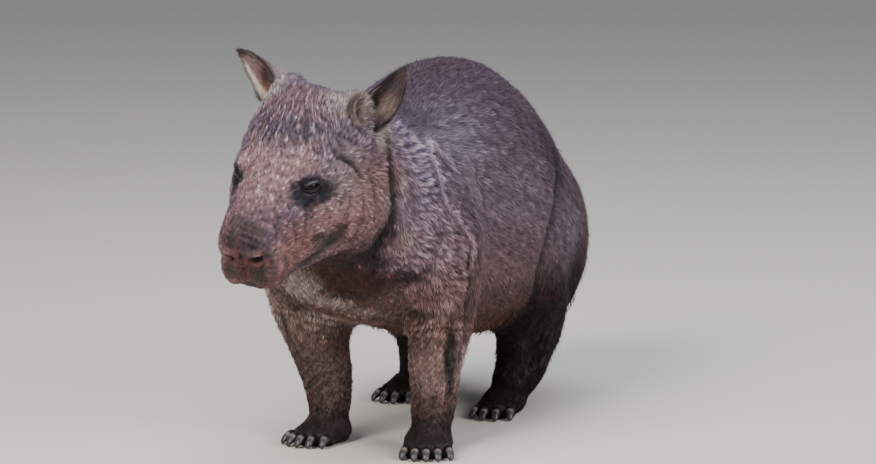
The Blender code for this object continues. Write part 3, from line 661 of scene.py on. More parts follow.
def eyeMatrix(side):
    # eye space: the eye looks along +Z, its corners lie along X and +Y is up
    look = Vector((side * eye["axis"][0], -eye["axis"][1], eye["axis"][2])).normalized()
    outwards = Vector((0, 1, 0))
    outwards = (outwards - look * outwards.dot(look)).normalized()
    upwards = look.cross(outwards) * side
    slant = math.radians(eye["slant"])
    corners = (outwards * math.cos(slant) + upwards * math.sin(slant)).normalized()
    turn = Matrix((corners, look.cross(corners), look)).transposed()
    return Matrix.Translation(eyePlace(side)) @ (headMatrix().to_3x3() @ turn).to_4x4()


eyeToWorld = {side: eyeMatrix(side) for side in (1, -1)}


# Lids: a ring of skin round each eye, from its moist edge on the ball out under the coat

lid = {
    "edge": 0.0010, "outer": (0.0172, 0.0122), "steps": 14, "around": 96, "bulge": 0.0007, "crease": 0.0008,
    "hairless": (0.0108, 0.0058),  # half width and height of the moist part
    # fold: the colour of the painted highlight along the lids' crease
    "rim": "0a090b", "moist": "2e2526", "fold": "6a5f68",
}


def sheetFaces(rowCount, columnCount, start=0, flip=False, wrap=False):
    faces = []
    for i in range(rowCount - 1):
        for j in range(columnCount if wrap else columnCount - 1):
            following = (j + 1) % columnCount
            quad = [start + i * columnCount + j, start + i * columnCount + following,
                    start + (i + 1) * columnCount + following, start + (i + 1) * columnCount + j]
            faces.append(quad[::-1] if flip else quad)
    return faces


def meshFromQuads(name, points, quads, tints, patches=None):
    mesh = bpy.data.meshes.new(name)
    mesh.from_pydata([tuple(point) for point in points], [], quads)
    mesh.polygons.foreach_set("use_smooth", np.ones(len(mesh.polygons), bool))
    setTints(mesh, np.array(tints))
    if patches is not None:
        corners = np.zeros(len(mesh.loops), np.int32)
        mesh.loops.foreach_get("vertex_index", corners)
        layer = mesh.uv_layers.new(name="OFBake")
        layer.data.foreach_set("uv", np.array(patches)[corners].astype(np.float32).ravel())
    mesh.update()
    return mesh


def makeLid(side, tree):
    toWorld = eyeToWorld[side]
    toEye = toWorld.inverted()
    points, tints, patches = [], [], []
    rim, moist = linear(lid["rim"]), linear(lid["moist"])
    for step in range(lid["steps"] + 3):
        share = max(0, (step - 2) / lid["steps"])
        for k in range(lid["around"]):
            angle = 2 * math.pi * k / lid["around"]
            across, up = math.cos(angle), math.sin(angle)
            isUpper = up > 0
            opening = eye["upper"] if isUpper else eye["lower"]
            x = across * (eye["halfLength"] * (1 - share) + lid["outer"][0] * share)
            y = up * (opening * abs(up) ** 0.35 * (1 - share) + lid["outer"][1] * share)
            off = (-0.0006, 0.0002, lid["edge"])[min(step, 2)]
            if step == 0:
                x, y = x * 1.06, y * 1.12
            ball = math.sqrt(max((eye["radius"] + off) ** 2 - x * x - y * y, 0.0030 ** 2))
            start = toWorld @ Vector((x, side * y, 0.03))
            hit = tree.ray_cast(start, -(toWorld.to_3x3() @ Vector((0, 0, 1))))[0]
            flesh = (toEye @ hit).z - 0.0006 if hit else ball
            blend = share * share * (3 - 2 * share)
            z = ball * (1 - blend) + flesh * blend
            z += lid["bulge"] * math.sin(math.pi * min(share * 2.2, 1)) * abs(up)
            wander = 0.07 * math.sin(2.0 * angle + 0.6) + 0.04 * math.sin(5.0 * angle + 2.0)
            fold = (0.38 if isUpper else 0.5) + wander
            z -= lid["crease"] * math.exp(-((share - fold) / 0.09) ** 2) * abs(up) * (1 if isUpper else 0.6)
            z += 0.0003 * math.sin(9 * angle + 14 * share) * min(share * 2, 1)
            place = toWorld @ Vector((x, side * y, z))
            points.append(place)
            patches.append((0.5 + 0.48 * across * (0.4 + 0.6 * share), 0.5 + 0.48 * up * (0.4 + 0.6 * share)))
            tints.append(share)
    points = np.array(points)
    share = np.array(tints)[:, None]
    coatTint = coatColour(points) * 0.8
    edgeTint = np.where(share < 0.02, moist * 0.5 + rim * 0.5, rim)
    mix = ramp(share, 0.03, 0.30)
    angle = 2 * math.pi * (np.arange(len(points)) % lid["around"])[:, None] / lid["around"]
    isUpper = np.sin(angle) > 0
    # the pale fold is a painted highlight along the lids' crease: the upper one lies over the middle of the
    # eye, the lower one only under its inner half
    along = np.cos(angle - np.radians(np.where(isUpper, 72, 245)))
    place = np.where(isUpper, 0.26 + 0.05 * np.cos(angle), 0.62 + 0.10 * np.cos(angle))
    fold = np.exp(-((share - place) / 0.075) ** 2) * ramp(along, 0.62, 0.95) * np.where(isUpper, 0.9, 0.6)
    coatTint = coatTint * (1 - fold) + linear(lid["fold"]) * fold
    quads = sheetFaces(lid["steps"] + 3, lid["around"], wrap=True, flip=side < 0)
    name = "lidLeft" if side > 0 else "lidRight"
    return addObject(name, meshFromQuads(name, points, quads, edgeTint * (1 - mix) + coatTint * mix, patches))


def makeEyeball(side):
    # a ball with its clear front standing a little proud; the iris fills nearly all that shows
    rings, around = 40, 56
    points, tints = [], []
    colours = {name: linear(value) for name, value in eye["colours"].items()}
    for i in range(rings + 1):
        polar = math.pi * i / rings
        for k in range(around):
            angle = 2 * math.pi * k / around
            radius = eye["radius"] + 0.0005 * math.exp(-(polar / 0.55) ** 4)
            points.append(eyeToWorld[side] @ Vector((radius * math.sin(polar) * math.cos(angle),
                                                    radius * math.sin(polar) * math.sin(angle),
                                                    radius * math.cos(polar))))
            away = radius * math.sin(polar) if polar < 1.5 else 0.02
            streak = 1 + 0.35 * math.sin(angle * 17) * math.sin(angle * 5 + 1)
            if away < eye["pupil"]:
                tints.append(colours["pupil"])
            elif away < eye["iris"]:
                tints.append(colours["iris"] * streak)
            else:
                tints.append(colours["edge"] if away < eye["edge"] else colours["white"])
    quads = sheetFaces(rings + 1, around, wrap=True, flip=True)
    mesh = meshFromQuads("eyeballLeft" if side > 0 else "eyeballRight", points, quads, tints)
    mended(mesh, 0.00001)
    return addObject(mesh.name, mesh)


# Ears: cupped leaves, nearly a tube at the root, open to the front, with their own place on each side

ear = {
    "length": 0.077, "width": 0.036, "wall": 0.0024, "rows": 44, "columns": 34,
    "root": {1: (0.049, 0.017, 0.016), -1: (0.043, 0.014, 0.027)},
    "rise": {1: (0.57, -0.76, 0.56), -1: (-0.84, -0.34, 0.62)},
    "bow": {1: -0.0060, -1: 0.0045},
    "facing": {1: (0.36, 0.84, 0.40), -1: (-0.42, 0.80, 0.40)},
    "back": "5b5355", "backRoot": "8a7c80", "rim": "1c1517",
    # inside, on each side: the outer part at root and tip, the dark hollow and the mouth of the canal, both
    # painted shade, the fold in front; the fringe of pale hair along the outer edge is on the right ear alone
    "outerRoot": {1: "806f6a", -1: "8f7268"}, "outerTip": {1: "4a3d40", -1: "7d6a6c"},
    "tipDark": "4e3f42", "fringe": "d8ccc8",
    "shadedHollow": "2a2225", "hollowFrom": {1: 0.02, -1: -0.62}, "hollowTo": {1: (1.2, 1.1), -1: (0.66, 0.46)},
    "shadedCanal": "0c0808", "brown": "6a4c42", "frontFold": "a3928c",
}


def earMatrix(side):
    rise = Vector((ear["rise"][side][0], -ear["rise"][side][1], ear["rise"][side][2])).normalized()
    facing = Vector((ear["facing"][side][0], -ear["facing"][side][1], ear["facing"][side][2]))
    facing = (facing - rise * facing.dot(rise)).normalized()
    turn = Matrix((facing.cross(rise), -facing, rise)).transposed().to_4x4()
    left, ahead, up = ear["root"][side]
    return headMatrix() @ Matrix.Translation((side * left, -ahead, up)) @ turn


def earSpot(side, t, share):
    # a point of the leaf: t from root to tip, share from -1 to 1 across it
    width = ear["width"] / 2 * (1 - t ** 2.4) ** 0.8 * (0.96 + 0.14 * t) + 0.0009
    bow = side * ear["bow"][side] * 4 * t * (1 - t)
    curl = math.radians(125 - 60 * t)
    radius = width / math.sin(min(curl, math.pi / 2))
    turn = share * curl
    back = 0.80 * radius * (math.cos(turn) - 0.3 * math.cos(curl)) + 0.008 * t * t
    ridge = 0.0007 * math.sin(9 * share + 1.5 * side) * (1 - share * share)
    ridge *= math.sin(math.pi * min(t * 1.2, 1))
    wave = 0.0006 * math.sin(t * 19 + 2 * side) * share * share
    return Vector((bow + radius * math.sin(turn), back + ridge + wave, t * ear["length"]))


def laid(under, hexColour, amount):
    # a colour laid over others, by its amount at each point of the sheet
    return under * (1 - amount[:, :, None]) + linear(hexColour) * amount[:, :, None]


def makeEar(side):
    rowCount, columnCount = ear["rows"], ear["columns"]
    middle = np.array([[earSpot(side, min(i / (rowCount - 1), 0.9985), -1 + 2 * j / (columnCount - 1))
                        for j in range(columnCount)] for i in range(rowCount)])
    along = np.gradient(middle, axis=0)
    across = np.gradient(middle, axis=1)
    out = unit(np.cross(across, along))
    t = np.linspace(0, 1, rowCount)[:, None] + np.zeros((1, columnCount))
    share = np.linspace(-1, 1, columnCount)[None] + np.zeros((rowCount, 1))
    wall = ear["wall"] * (1 - 0.55 * t) * (1 - 0.6 * np.abs(share) ** 5) / 2
    outer = middle + out * wall[:, :, None]
    inner = middle - out * wall[:, :, None]
    if (out[:, :, 1].mean()) < 0:
        outer, inner = inner, outer
    medial = side * share
    rim = np.maximum(ramp(np.abs(share), 0.80, 0.97), ramp(t, 0.90, 0.99))
    back = laid(linear(ear["backRoot"]), ear["back"], ramp(t, 0.1, 0.55))
    back = laid(back, ear["rim"], rim)
    cup = laid(linear(ear["outerRoot"][side]), ear["outerTip"][side], ramp(t, 0.35, 0.72))
    start = ear["hollowFrom"][side]
    cup = laid(cup, ear["brown"], 0.8 * ramp(medial, start - 0.2, start + 0.3) * ramp(t, 0.62, 0.35))
    edge = start + 0.5 * ramp(t, 0.6, 0.95)
    # painted shade: the dark hollow in the cup, and below it the mouth of the canal
    shadedHollow = ramp(medial, edge, edge + 0.3)
    cup = laid(cup, ear["shadedHollow"], 0.88 * shadedHollow * ramp(t, 0.20, 0.34) * ramp(t, *ear["hollowTo"][side]))
    cup = laid(cup, ear["shadedCanal"], ramp(t, 0.42, 0.33) * ramp(np.abs(medial - 0.30), 0.42, 0.22))
    cup = laid(cup, ear["tipDark"], 0.9 * ramp(t, 0.80, 0.92))
    cup = laid(cup, ear["fringe"], 0.9 * ramp(medial, -0.52, -0.74) * ramp(t, 0.90, 0.72) * (side < 0))
    cup = laid(cup, ear["frontFold"], ramp(medial, 0.70, 0.88) * ramp(t, 0.60, 0.40))
    streaks = np.sin(share * 23 + 2.0 * np.sin(t * 9)) + 0.8 * np.sin(share * 41 + 3.0 * np.sin(t * 5 + 1))
    cup = cup * (1 + 0.16 * streaks)[:, :, None]
    cup = laid(cup, ear["rim"], 0.8 * rim)
    count = rowCount * columnCount
    quads = sheetFaces(rowCount, columnCount, 0) + sheetFaces(rowCount, columnCount, count, flip=True)
    border = [(i, 0) for i in range(rowCount)] + [(rowCount - 1, j) for j in range(1, columnCount)]
    border += [(i, columnCount - 1) for i in range(rowCount - 2, -1, -1)]
    border += [(0, j) for j in range(columnCount - 2, -1, -1)]
    ids = [i * columnCount + j for i, j in border]
    quads += [(a, b, b + count, a + count) for a, b in zip(ids, ids[1:])]
    points = moved(earMatrix(side), np.vstack([outer.reshape(-1, 3), inner.reshape(-1, 3)]))
    tints = np.vstack([back.reshape(-1, 3), cup.reshape(-1, 3)])
    patches = np.stack([0.02 + 0.46 * (share + 1) / 2, 0.02 + 0.96 * t], axis=2).reshape(-1, 2)
    patches = np.vstack([patches, patches + np.array((0.5, 0))])
    name = "earLeft" if side > 0 else "earRight"
    mesh = meshFromQuads(name, points, quads, tints, patches)
    mended(mesh, 0.0)
    return addObject(name, mesh)


# Claws: horn cones in the solids' places, five on each forefoot and four on each hind foot

clawBuild = {
    "length": 0.0185, "radius": 0.0052, "rings": 16, "sides": 16,
    "taper": 0.42, "rounded": (0.84, 1.05),  # how far it thins, and where its blunt end starts and closes
    "start": 0.006, "height": 0.0105, "drop": 0.0085,  # ahead of the toe, above the floor, down to the tip
    # the paler top (back) and the pale arc across it: the horn's own cuticle, together with painted highlight
    "base": "141112", "back": "34323a", "side": "171518", "worn": "847c79", "streak": 0.12,
}
# place of each foot, heading, number of toes, half their spread, reach of the middle toe
feet = {
    "forefoot_left": ((0.0775, -0.1135), 17, 5, 0.0220, 0.033),
    "forefoot_right": ((-0.0575, -0.0835), -15, 5, 0.0220, 0.033),
    "hindfoot_left": ((0.0705, 0.1585), 4, 4, 0.0180, 0.046),
    "hindfoot_right": ((-0.0675, 0.2245), -6, 4, 0.0180, 0.046),
}


def toeMatrix(foot, number):
    (left, back), heading, count, spread, reach = feet[foot]
    share = -1 + 2 * number / (count - 1)
    place = Matrix.Translation((share * spread, -reach + 0.010 * share * share, 0.0))
    frameMatrix = Matrix.Translation((left, back, 0.0)) @ Matrix.Rotation(math.radians(heading), 4, "Z")
    return frameMatrix @ place @ Matrix.Rotation(math.radians(14.0 * share), 4, "Z")


def makeClaw(foot, number):
    toe = toeMatrix(foot, number)
    points, tints = [], []
    base, back, flank, worn = (linear(clawBuild[part]) for part in ("base", "back", "side", "worn"))
    for i in range(clawBuild["rings"] + 1):
        t = i / clawBuild["rings"]
        radius = clawBuild["radius"] * (1 - clawBuild["taper"] * t ** 3)
        radius *= 1 - ramp(t, *clawBuild["rounded"]) ** 1.6
        for k in range(clawBuild["sides"]):
            angle = 2 * math.pi * k / clawBuild["sides"]
            across = 0.95 * radius * math.cos(angle)
            up = radius * math.sin(angle) * (1 if math.sin(angle) > 0 else 0.8)
            ahead = clawBuild["start"] + clawBuild["length"] * (t - 0.12 * t * t)
            height = clawBuild["height"] - clawBuild["drop"] * t * t + up
            points.append(toe @ Vector((across, -ahead, height)))
            streak = 1 + clawBuild["streak"] * math.sin(angle * 6 + number) - 0.15 * math.sin(9 * t + number)
            # the top painted paler than the sides, and a pale arc across it half way: cuticle together with
            # painted highlight
            pale = ramp(math.sin(angle), 0.1, 0.8)
            bare = ramp(t, 0.30, 0.55)
            tint = base * (1 - bare) + (flank * (1 - pale) + back * pale) * bare
            edge = 0.75 * pale * math.exp(-((t - 0.50) / 0.10) ** 2)
            tints.append((tint * (1 - edge) + worn * edge) * streak)
    last = len(points)
    quads = sheetFaces(clawBuild["rings"] + 1, clawBuild["sides"], wrap=True)
    quads.append(tuple(range(clawBuild["sides"]))[::-1])
    quads.append(tuple(range(last - clawBuild["sides"], last)))
    name = f"claw{foot.title().replace('_', '')}{number + 1}"
    mesh = meshFromQuads(name, points, quads, tints)
    mended(mesh, 0.0)
    return addObject(name, mesh)


# Whiskers on the lips, brows and cheeks: (left, ahead, up) of the root, the way it grows, length

whiskerBuild = {"radius": 0.00016, "droop": 0.006, "rings": 7, "tint": "4a3c38"}
whiskers = (
    ((0.026, 0.212, -0.036), (0.8, -0.10, -0.45), 0.026),
    ((0.031, 0.204, -0.040), (0.8, -0.25, -0.40), 0.030),
    ((0.034, 0.196, -0.034), (0.8, -0.40, -0.30), 0.032),
    ((0.036, 0.190, -0.044), (0.7, -0.45, -0.55), 0.030),
    ((0.032, 0.200, -0.048), (0.7, -0.20, -0.65), 0.024),
    ((0.040, 0.184, -0.036), (0.8, -0.60, -0.30), 0.030),
    ((0.046, 0.122, 0.031), (0.4, -0.60, 0.60), 0.018),
    ((0.070, 0.100, -0.045), (0.8, -0.50, -0.40), 0.022),
)


def makeWhiskers(tree):
    points, faces = [], []
    for side in (1, -1):
        for place, way, length in whiskers:
            mirror = np.array((side, 1, 1))
            ends = fromHead([np.array(place) * mirror, (np.array(place) + np.array(way)) * mirror])
            root = np.array(tree.find_nearest(Vector(ends[0]))[0])
            along = unit(ends[1] - ends[0])
            aside = unit(np.cross(along, (0.1, 0.2, 1.0)))
            rings = whiskerBuild["rings"]
            start = len(points)
            for i in range(rings):
                t = i / (rings - 1)
                middle = root + along * length * t - np.array((0, 0, 1)) * whiskerBuild["droop"] * t * t
                radius = whiskerBuild["radius"] * (1 - 0.75 * t)
                for k in range(4):
                    angle = math.pi * k / 2
                    points.append(middle + radius * (aside * math.cos(angle)
                                                     + np.cross(along, aside) * math.sin(angle)))
            faces += sheetFaces(rings, 4, start, wrap=True)
            faces += [tuple(range(start, start + 4))[::-1], tuple(range(len(points) - 4, len(points)))]
    tints = np.zeros((len(points), 3)) + linear(whiskerBuild["tint"])
    return addObject("whiskers", meshFromQuads("whiskers", points, faces, tints))


def unwrapped(obj):
    # lays the skin's own shape out flat, so that every tuft has a place of its own to keep its colours
    bpy.context.view_layer.objects.active = obj
    obj.select_set(True)
    obj.data.uv_layers.new(name="OFBake")
    bpy.ops.object.mode_set(mode="EDIT")
    bpy.ops.mesh.select_all(action="SELECT")
    bpy.ops.uv.smart_project(angle_limit=math.radians(60), island_margin=0.002)
    bpy.ops.object.mode_set(mode="OBJECT")
    obj.select_set(False)


def meshFromArrays(name, points, faces, tints, patches):
    # triangles, with a colour at each point and a place on the unwrap at each point
    mesh = bpy.data.meshes.new(name)
    mesh.vertices.add(len(points))
    mesh.vertices.foreach_set("co", points.astype(np.float32).ravel())
    mesh.loops.add(faces.size)
    mesh.loops.foreach_set("vertex_index", faces.astype(np.int32).ravel())
    mesh.polygons.add(len(faces))
    mesh.polygons.foreach_set("loop_start", np.arange(0, faces.size, 3, dtype=np.int32))
    mesh.polygons.foreach_set("use_smooth", np.ones(len(faces), bool))
    mesh.update(calc_edges=True)
    setTints(mesh, tints)
    if patches is not None:
        layer = mesh.uv_layers.new(name="OFBake")
        layer.data.foreach_set("uv", patches[faces.ravel()].astype(np.float32).ravel())
    return mesh


def setTints(mesh, tints):
    layer = mesh.color_attributes.new("tint", "FLOAT_COLOR", "POINT")
    rgba = np.concatenate([np.clip(tints, 0, 1), np.ones((len(tints), 1))], axis=1)
    layer.data.foreach_set("color", rgba.astype(np.float32).ravel())


# Lie of the coat: places and the way the hair runs there, on the left side; the right side mirrors them

bodyStrokes = (
    ((0.03, -0.06, 0.40), (0.10, 1.00, 0.10)), ((0.03, 0.12, 0.41), (0.12, 1.00, -0.10)),
    ((0.03, 0.28, 0.36), (0.20, 0.80, -0.70)), ((0.05, 0.38, 0.25), (0.20, 0.20, -1.00)),
    ((0.05, 0.36, 0.15), (0.00, -0.20, -1.00)), ((0.11, 0.05, 0.33), (0.10, 0.90, -0.45)),
    ((0.13, 0.05, 0.24), (0.00, 0.85, -0.60)), ((0.12, 0.05, 0.15), (-0.30, 0.85, -0.50)),
    ((0.10, 0.15, 0.33), (0.10, 0.80, -0.60)), ((0.11, 0.28, 0.27), (0.10, 0.50, -0.90)),
    ((0.00, 0.05, 0.10), (0.00, 1.00, 0.00)), ((0.135, 0.20, 0.24), (0.00, 0.40, -0.90)),
    ((0.12, 0.23, 0.14), (-0.20, 0.20, -1.00)), ((0.09, 0.22, 0.09), (0.00, -0.10, -1.00)),
    ((0.07, 0.18, 0.05), (0.00, -0.50, -0.80)), ((0.07, 0.13, 0.03), (0.00, -1.00, -0.35)),
    ((0.12, -0.12, 0.27), (0.10, 0.50, -0.85)), ((0.12, -0.10, 0.18), (0.00, 0.20, -1.00)),
    ((0.08, -0.10, 0.11), (0.00, -0.10, -1.00)), ((0.08, -0.09, 0.05), (0.00, -0.30, -1.00)),
    ((0.075, -0.13, 0.03), (0.10, -0.90, -0.50)), ((0.085, -0.19, 0.31), (0.30, 0.60, -0.70)),
    ((0.08, -0.20, 0.25), (0.20, 0.40, -0.85)), ((0.02, -0.15, 0.39), (0.10, 1.00, 0.05)),
    ((0.03, -0.20, 0.20), (0.15, 0.30, -0.90)), ((0.00, -0.15, 0.16), (0.00, 0.30, -1.00)),
    ((0.00, 0.40, 0.22), (0.00, 0.10, -1.00)), ((0.05, 0.30, 0.12), (0.00, -0.10, -1.00)),
)
headStrokes = (
    ((0.01, 0.215, 0.005), (0.20, -1.00, 0.20)), ((0.01, 0.17, 0.03), (0.12, -1.00, 0.30)),
    ((0.02, 0.10, 0.05), (-0.30, -1.00, 0.35)), ((0.045, 0.075, 0.045), (-0.75, -1.00, 0.70)),
    ((0.01, 0.03, 0.06), (0.10, -1.00, 0.00)), ((0.01, -0.03, 0.05), (0.00, -1.00, -0.20)),
    ((0.04, 0.18, -0.03), (0.25, -0.90, -0.40)), ((0.07, 0.10, -0.04), (0.15, -0.90, -0.45)),
    ((0.055, 0.13, -0.02), (0.30, -0.80, -0.50)), ((0.05, 0.12, 0.03), (0.30, -0.80, 0.55)),
    ((0.035, 0.145, 0.015), (0.30, -1.00, 0.35)), ((0.062, 0.105, 0.010), (0.40, -1.00, 0.05)),
    ((0.075, 0.05, 0.00), (0.00, -0.90, 0.10)), ((0.05, 0.08, -0.10), (0.10, -0.80, -0.60)),
    ((0.00, 0.17, -0.09), (0.00, -0.90, -0.30)), ((0.050, 0.045, 0.045), (-0.70, -0.90, 0.60)),
    ((0.01, 0.228, -0.045), (0.50, -0.20, -0.80)), ((0.028, 0.21, -0.04), (0.50, -0.60, -0.60)),
    ((0.028, 0.215, -0.005), (0.60, -0.80, 0.00)), ((0.06, 0.00, -0.05), (0.10, -0.60, -0.80)),
)
strokeReach = {"body": 0.085, "head": 0.028}


def strokeTable():
    places, ways, reaches = [], [], []
    for side in (1, -1):
        mirror = np.array((side, 1, 1))
        for place, way in bodyStrokes:
            places.append(np.array(place) * mirror)
            ways.append(np.array(way) * mirror)
            reaches.append(strokeReach["body"])
        for place, way in headStrokes:
            ends = fromHead([np.array(place) * mirror, (np.array(place) + np.array(way)) * mirror])
            places.append(ends[0])
            ways.append(ends[1] - ends[0])
            reaches.append(strokeReach["head"])
    return np.array(places), unit(np.array(ways)), np.array(reaches)


strokePlaces, strokeWays, strokeReaches = strokeTable()


def lieAt(points, normals):
    flow = np.zeros_like(points)
    for place, way, reach in zip(strokePlaces, strokeWays, strokeReaches):
        away = ((points - place) ** 2).sum(axis=1)
        weight = np.exp(-away / reach ** 2) + 1e-5 * (reach / 0.05) ** 2 / (away + 0.0004)
        flow += weight[:, None] * way
    for (name, _), line in foldLines.items():
        if folds[name].get("combed"):
            flow = unit(flow)
            width = folds[name]["width"]
            ways = unit(np.gradient(line, axis=0))
            for part in inParts(nearLine(points, line, 2.5 * width)):
                gaps = gapsTo(points[part], line)
                hold = np.exp(-(gaps.min(axis=1) / width / 1.4) ** 2)[:, None]
                flow[part] = flow[part] * (1 - hold) + ways[gaps.argmin(axis=1)] * hold
    flow -= normals * (flow * normals).sum(axis=1, keepdims=True)
    flow = unit(flow)
    swirl = 0.22 * ripple(points, 0.05, 11) + 0.16 * ripple(points, 0.014, 12)
    across = np.cross(normals, flow)
    return flow * np.cos(swirl)[:, None] + across * np.sin(swirl)[:, None]


def sampledRoots(mesh, density):
    # random spots on a mesh: density gives the number to a square metre at each point
    mesh.calc_loop_triangles()
    corners = np.zeros(len(mesh.loop_triangles) * 3, np.int32)
    mesh.loop_triangles.foreach_get("vertices", corners)
    corners = corners.reshape(-1, 3)
    loops = np.zeros(len(mesh.loop_triangles) * 3, np.int32)
    mesh.loop_triangles.foreach_get("loops", loops)
    loops = loops.reshape(-1, 3)
    points = vertexArray(mesh)
    normals = normalArray(mesh)
    flat = np.zeros(len(mesh.loops) * 2, np.float32)
    mesh.uv_layers["OFBake"].data.foreach_get("uv", flat)
    flat = flat.reshape(-1, 2)
    a, b, c = (points[corners[:, k]] for k in range(3))
    area = np.linalg.norm(np.cross(b - a, c - a), axis=1) / 2
    wanted = area * density((a + b + c) / 3)
    heap = np.cumsum(wanted)
    count = int(heap[-1])
    picks = np.searchsorted(heap, (np.arange(count) + random.random(count)) / count * heap[-1])
    picks = np.minimum(picks, len(corners) - 1)
    u, v = random.random(count), random.random(count)
    over = u + v > 1
    u[over], v[over] = 1 - u[over], 1 - v[over]
    shares = np.stack([1 - u - v, u, v], axis=1)[:, :, None]
    mixed = [(array[index[picks]] * shares).sum(axis=1) for array, index in
             ((points, corners), (normals, corners), (flat, loops))]
    return mixed[0], unit(mixed[1]), mixed[2]


def onSkin(tree, points):
    near = [tree.find_nearest(point) for point in points.tolist()]
    return vectorArray((hit[0] for hit in near), len(near)), vectorArray((hit[1] for hit in near), len(near))


def gathered(roots, normals, mids, tips, size, amount, sure):
    # draws the tips of neighbours together into locks; returns each tuft's distance from its lock's middle
    isGuide = random.random(len(roots)) < sure
    guides = np.nonzero(isGuide)[0]
    tree = kdtree.KDTree(len(guides))
    for k, index in enumerate(guides):
        tree.insert(roots[index], k)
    tree.balance()
    chosen = guides[np.array([tree.find(root)[1] for root in roots.tolist()])]
    offset = roots - roots[chosen]
    away = np.linalg.norm(offset, axis=1) / size
    agree = (normals * normals[chosen]).sum(axis=1)
    pull = (amount * (away < 2) * (agree > 0.3))[:, None]
    tips = tips + pull * (tips[chosen] + offset * 0.2 - tips)
    mids = mids + 0.45 * pull * (mids[chosen] + offset * 0.5 - mids)
    return mids, tips, np.clip(away, 0, 1.5)


def tuftArrays(roots, mids, tips, normals, midNormals, across, width, tints, patches, isShort):
    # tints: the colour at root, middle and tip
    # closed three-sided tufts: short ones are a spike, long ones have a bend half way
    half = (width / 2)[:, None]
    thick = (width * 0.42)[:, None]
    patch = 0.003
    rings = [(roots, normals, 0.85, tints[0], 0.0)]
    if not isShort:
        rings.append((mids, midNormals, 0.95, tints[1], 0.5))
    points, colours, spots = [], [], []
    for place, up, wide, shade, along in rings:
        for sidewise, raised in ((-1, 0), (1, 0), (0, 1)):
            points.append(place + across * half * wide * sidewise + up * thick * raised)
            # the raised top edge of each tuft is painted a little paler: a painted highlight
            colours.append(shade * (1 + 0.12 * raised))
            spots.append(patches + patch * np.array((0.5 * sidewise, along + 0.12 * raised - 0.5)))
    points.append(tips)
    colours.append(tints[2])
    spots.append(patches + patch * np.array((0.0, 0.5)))
    each = len(points)
    faces = [(0, 2, 1)]
    for ring in range(len(rings) - 1):
        k = 3 * ring
        for a, b in ((0, 1), (1, 2), (2, 0)):
            faces += [(k + a, k + b, k + 3 + b), (k + a, k + 3 + b, k + 3 + a)]
    last = 3 * (len(rings) - 1)
    faces += [(last, last + 1, each - 1), (last + 1, last + 2, each - 1), (last + 2, last, each - 1)]
    count = len(roots)
    points = np.stack(points, axis=1).reshape(-1, 3)
    colours = np.stack(colours, axis=1).reshape(-1, 3)
    spots = np.clip(np.stack(spots, axis=1).reshape(-1, 2), 0.0005, 0.9995)
    faces = (np.array(faces)[None] + each * np.arange(count)[:, None, None]).reshape(-1, 3)
    return points, faces, colours, spots


waveBuild = {
    "rows": 0.0076, "lowRows": 0.0020,  # from crest to crest on the neck, and how much more on the legs
    "strands": 0.0018, "fan": 18,  # the same between the forehead's strands at the nape, and how they spread
    "gap": 0.42, "strandGap": 0.60,  # width of the gaps, painted dark as shade
    # how strongly each region waves: crosswise, lengthwise and crumpled
    "crosswise": {"neck": 1.6, "leg": 1.5, "body": 0.10},
    "lengthwise": {"crown": 2.0, "face": 0.30},
    "crumpled": {"face": 0.7, "crown": 0.4, "neck": 0.3, "body": 0.3, "leg": 0.3},
}


def weighed(shares, weights):
    return sum(weight * shares[name] for name, weight in weights.items())


def waves(points, shares):
    # loose coat breaks into waves: crosswise rows on neck, shoulders and upper legs, and on the forehead
    # lengthwise strands with narrow dark gaps; the value lifts the coat, and tints it as painted shade in the
    # troughs and gaps and painted highlight on the crests
    def crests(phase, gap):
        return 1 - 2.2 * np.exp(-(np.sin(phase / 2) / gap) ** 2)

    head = inHead(points)
    warp = 2.2 * ripple(points, 0.07, 21) + 0.7 * ripple(points, 0.022, 22)
    spacing = waveBuild["rows"] + waveBuild["lowRows"] * ramp(points[:, 2], 0.19, 0.15)
    crosswise = crests(2 * math.pi * points[:, 2] / spacing + warp, waveBuild["gap"])
    fan = head[:, 0] * np.exp(-waveBuild["fan"] * np.clip(head[:, 1], 0, 0.10))
    wander = 2.0 * ripple(points, 0.04, 23) + 1.4 * ripple(points, 0.013, 24)
    lengthwise = crests(2 * math.pi * fan / waveBuild["strands"] + wander, waveBuild["strandGap"])
    patchy = np.clip(0.90 + 0.35 * ripple(points, 0.030, 25) + 0.30 * ripple(points, 0.011, 27), 0, 2)
    # hair that hangs straight down breaks into strands instead: on the chest, and below the elbow
    hanging = ripple(points * (1, 1, 0.14), 0.0052, 61) + 0.6 * ripple(points * (1, 1, 0.2), 0.011, 62)
    chest = ramp(points[:, 1], -0.130, -0.150) * ramp(points[:, 2], 0.205, 0.185)
    chest = chest * ramp(np.abs(points[:, 0]), 0.075, 0.050)
    lowLeg = shares["leg"] * ramp(points[:, 2], 0.135, 0.100)
    upper = {"neck": shares["neck"] * (1 - chest), "leg": shares["leg"] - lowLeg, "body": shares["body"]}
    total = crosswise * weighed(upper, waveBuild["crosswise"]) + hanging * (1.3 * chest + 0.9 * lowLeg)
    total += lengthwise * weighed(shares, waveBuild["lengthwise"])
    return total * patchy + ripple(points, 0.0060, 26) * weighed(shares, waveBuild["crumpled"])


furTune = {
    "density": 0.96, "quickDensity": 0.35, "stray": 0.05,
    "mottle": 0.26, "fine": 0.50,  # unevenness of the colour, over 14 mm and over 5 mm
    "spread": 0.38,  # from tuft to tuft
    "root": 0.22, "mid": 0.72, "tip": 1.48,  # brightness along a tuft: paler tips of the hair's own, and painted shade down at the roots
    "wave": 0.62, "heave": 0.0018,  # how far the waves paint shade and highlight into the coat, and lift it
    "sunk": 0.0006,  # of the roots, into the skin
    "lock": {"base": 0.0042, "neck": 0.0036, "body": 0.003, "leg": 0.003, "belly": 0.003},
}
thinned = 1.0


